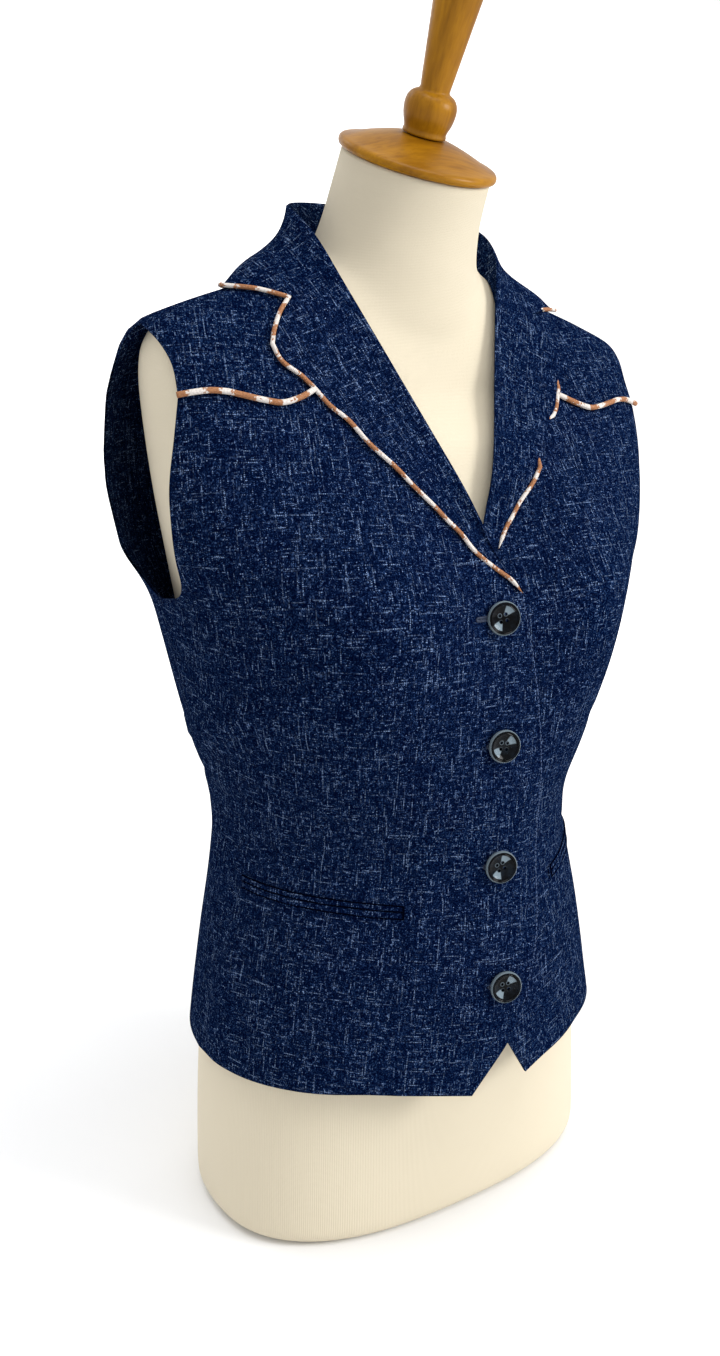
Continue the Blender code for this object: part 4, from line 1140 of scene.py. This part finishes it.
WOOD_SHADES = (0.200, 0.077, 0.001), (0.390, 0.172, 0.004)
WOOD_PORES = (0.17, 0.064, 0.004)


def wood_material(name, stretch_along):
    """Varnished wood. stretch_along scales the grain's space, so that it runs long where it is large."""
    material, tree, shader = new_material(name, 0.4, 0.12)
    mapping = tree.nodes.new("ShaderNodeMapping")
    mapping.vector_type = "TEXTURE"
    mapping.inputs["Rotation"].default_value = (NECK_LEAN, 0, 0)
    mapping.inputs["Scale"].default_value = stretch_along
    tree.links.new(object_place(tree), mapping.inputs[0])
    broad = noise(tree, mapping.outputs[0], 42.0, 4.0, 0.55)
    fine = noise(tree, mapping.outputs[0], 420.0, 2.0, 0.6)
    grain = stretch(tree, weighed(tree, (broad, 0.7), (fine, 0.3)), 0.34, 0.68)
    pores = maths(tree, "MULTIPLY", stretch(tree, fine, 0.62, 0.72), 0.4)
    base = colour_mix(tree, grain, *WOOD_SHADES)
    tree.links.new(colour_mix(tree, pores, base, WOOD_PORES), shader.inputs["Base Color"])
    shader.inputs["Coat Weight"].default_value = 0.1
    shader.inputs["Coat Roughness"].default_value = 0.2
    bumped(tree, shader, fine, 0.00004)
    return material


cap = spun("neck_cap_wood", CAP_PROFILE, 96, axis_of("neck_cap", False, (0, 0, 1)))
show(cap, wood_material("varnished_cap_wood", (8.0, 1.0, 1.0)), "varnished_wood", "neck_cap")
handle = spun("neck_finial_wood", HANDLE_PROFILE, 64, axis_of("neck_finial", True, (0, 0, 1)))
show(handle, wood_material("varnished_handle_wood", (1.0, 1.0, 9.0)), "varnished_wood", "neck_finial")
print("wood:", len(cap.data.polygons), len(handle.data.polygons), "faces")

# %% [markdown]

# %% [markdown]
# The studio is plain: a pale floor that curves up behind into a backdrop. The paper is one edge that
# is extruded step by step: flat, then round a bend, then straight up.

# %% The floor
FLOOR_HALF_WIDTH = 5.0
FLOOR_FRONT_Y = -4.0
FLOOR_DEPTH = 7.0
BEND_RADIUS = 0.9
BEND_STEP = 0.175
BACKDROP_HEIGHT = 3.5

bend = [(0, BEND_RADIUS * (math.sin(a + BEND_STEP) - math.sin(a)),
         BEND_RADIUS * (math.cos(a) - math.cos(a + BEND_STEP))) for a in np.arange(0, 1.5, BEND_STEP)]
shape = bmesh.new()
front_corners = [shape.verts.new((x, FLOOR_FRONT_Y, 0)) for x in (-FLOOR_HALF_WIDTH, FLOOR_HALF_WIDTH)]
strip = [shape.edges.new(front_corners)]
for step in [(0.0, FLOOR_DEPTH, 0.0)] + bend + [(0, 0, BACKDROP_HEIGHT)]:
    made = bmesh.ops.extrude_edge_only(shape, edges=strip)["geom"]
    verts = [v for v in made if isinstance(v, bmesh.types.BMVert)]
    bmesh.ops.translate(shape, vec=step, verts=verts)
    strip = [e for e in made if isinstance(e, bmesh.types.BMEdge) and all(v in verts for v in e.verts)]
bmesh.ops.recalc_face_normals(shape, faces=shape.faces[:])
floor = object_of("studio_floor", shape)
floor.data.shade_smooth()
studio_paper, _, paper_shader = new_material("pale_studio_paper", 0.9, 0.5)
paper_shader.inputs["Base Color"].default_value = (0.86, 0.86, 0.86, 1)
floor.data.materials.append(studio_paper)
print("floor:", len(floor.data.polygons), "faces")

# %% [markdown]
# A large soft light at the camera's right models the body, a weaker one above lifts the shoulders,
# and a pale surround fills the rest. Two lights on the backdrop turn it white behind the form. The
# Standard view keeps the navy as deep as it is, where a film-like view would wash it out.

# %% The lights
def soft_light(name, place, aim, size, watts):
    light = bpy.data.lights.new(name, "AREA")
    light.energy, light.size = watts, size
    lamp = bpy.data.objects.new(name, light)
    towards = (Vector(aim) - Vector(place)).to_track_quat("-Z", "Y")
    lamp.matrix_world = Matrix.Translation(place) @ towards.to_matrix().to_4x4()
    bpy.context.scene.collection.objects.link(lamp)


soft_light("key_light", (1.3, -1.6, 1.2), (0, 0, 0.45), 0.8, 31)
soft_light("top_light", (0.0, -0.7, 2.2), (0, 0, 0.4), 1.2, 16)
soft_light("backdrop_light_right", (2.2, 1.2, 2.4), (2.6, 3.6, 0.6), 1.6, 95)
soft_light("backdrop_light_left", (-0.8, 1.6, 2.6), (0, 3.6, 0.8), 1.6, 60)
world = bpy.data.worlds.new("pale_surround")
world.use_nodes = True
world.node_tree.nodes["Background"].inputs["Color"].default_value = (0.97, 0.98, 1.0, 1)
world.node_tree.nodes["Background"].inputs["Strength"].default_value = 0.77
bpy.context.scene.world = world
bpy.context.scene.view_settings.view_transform = "Standard"
print("lights:", len(bpy.data.lights))
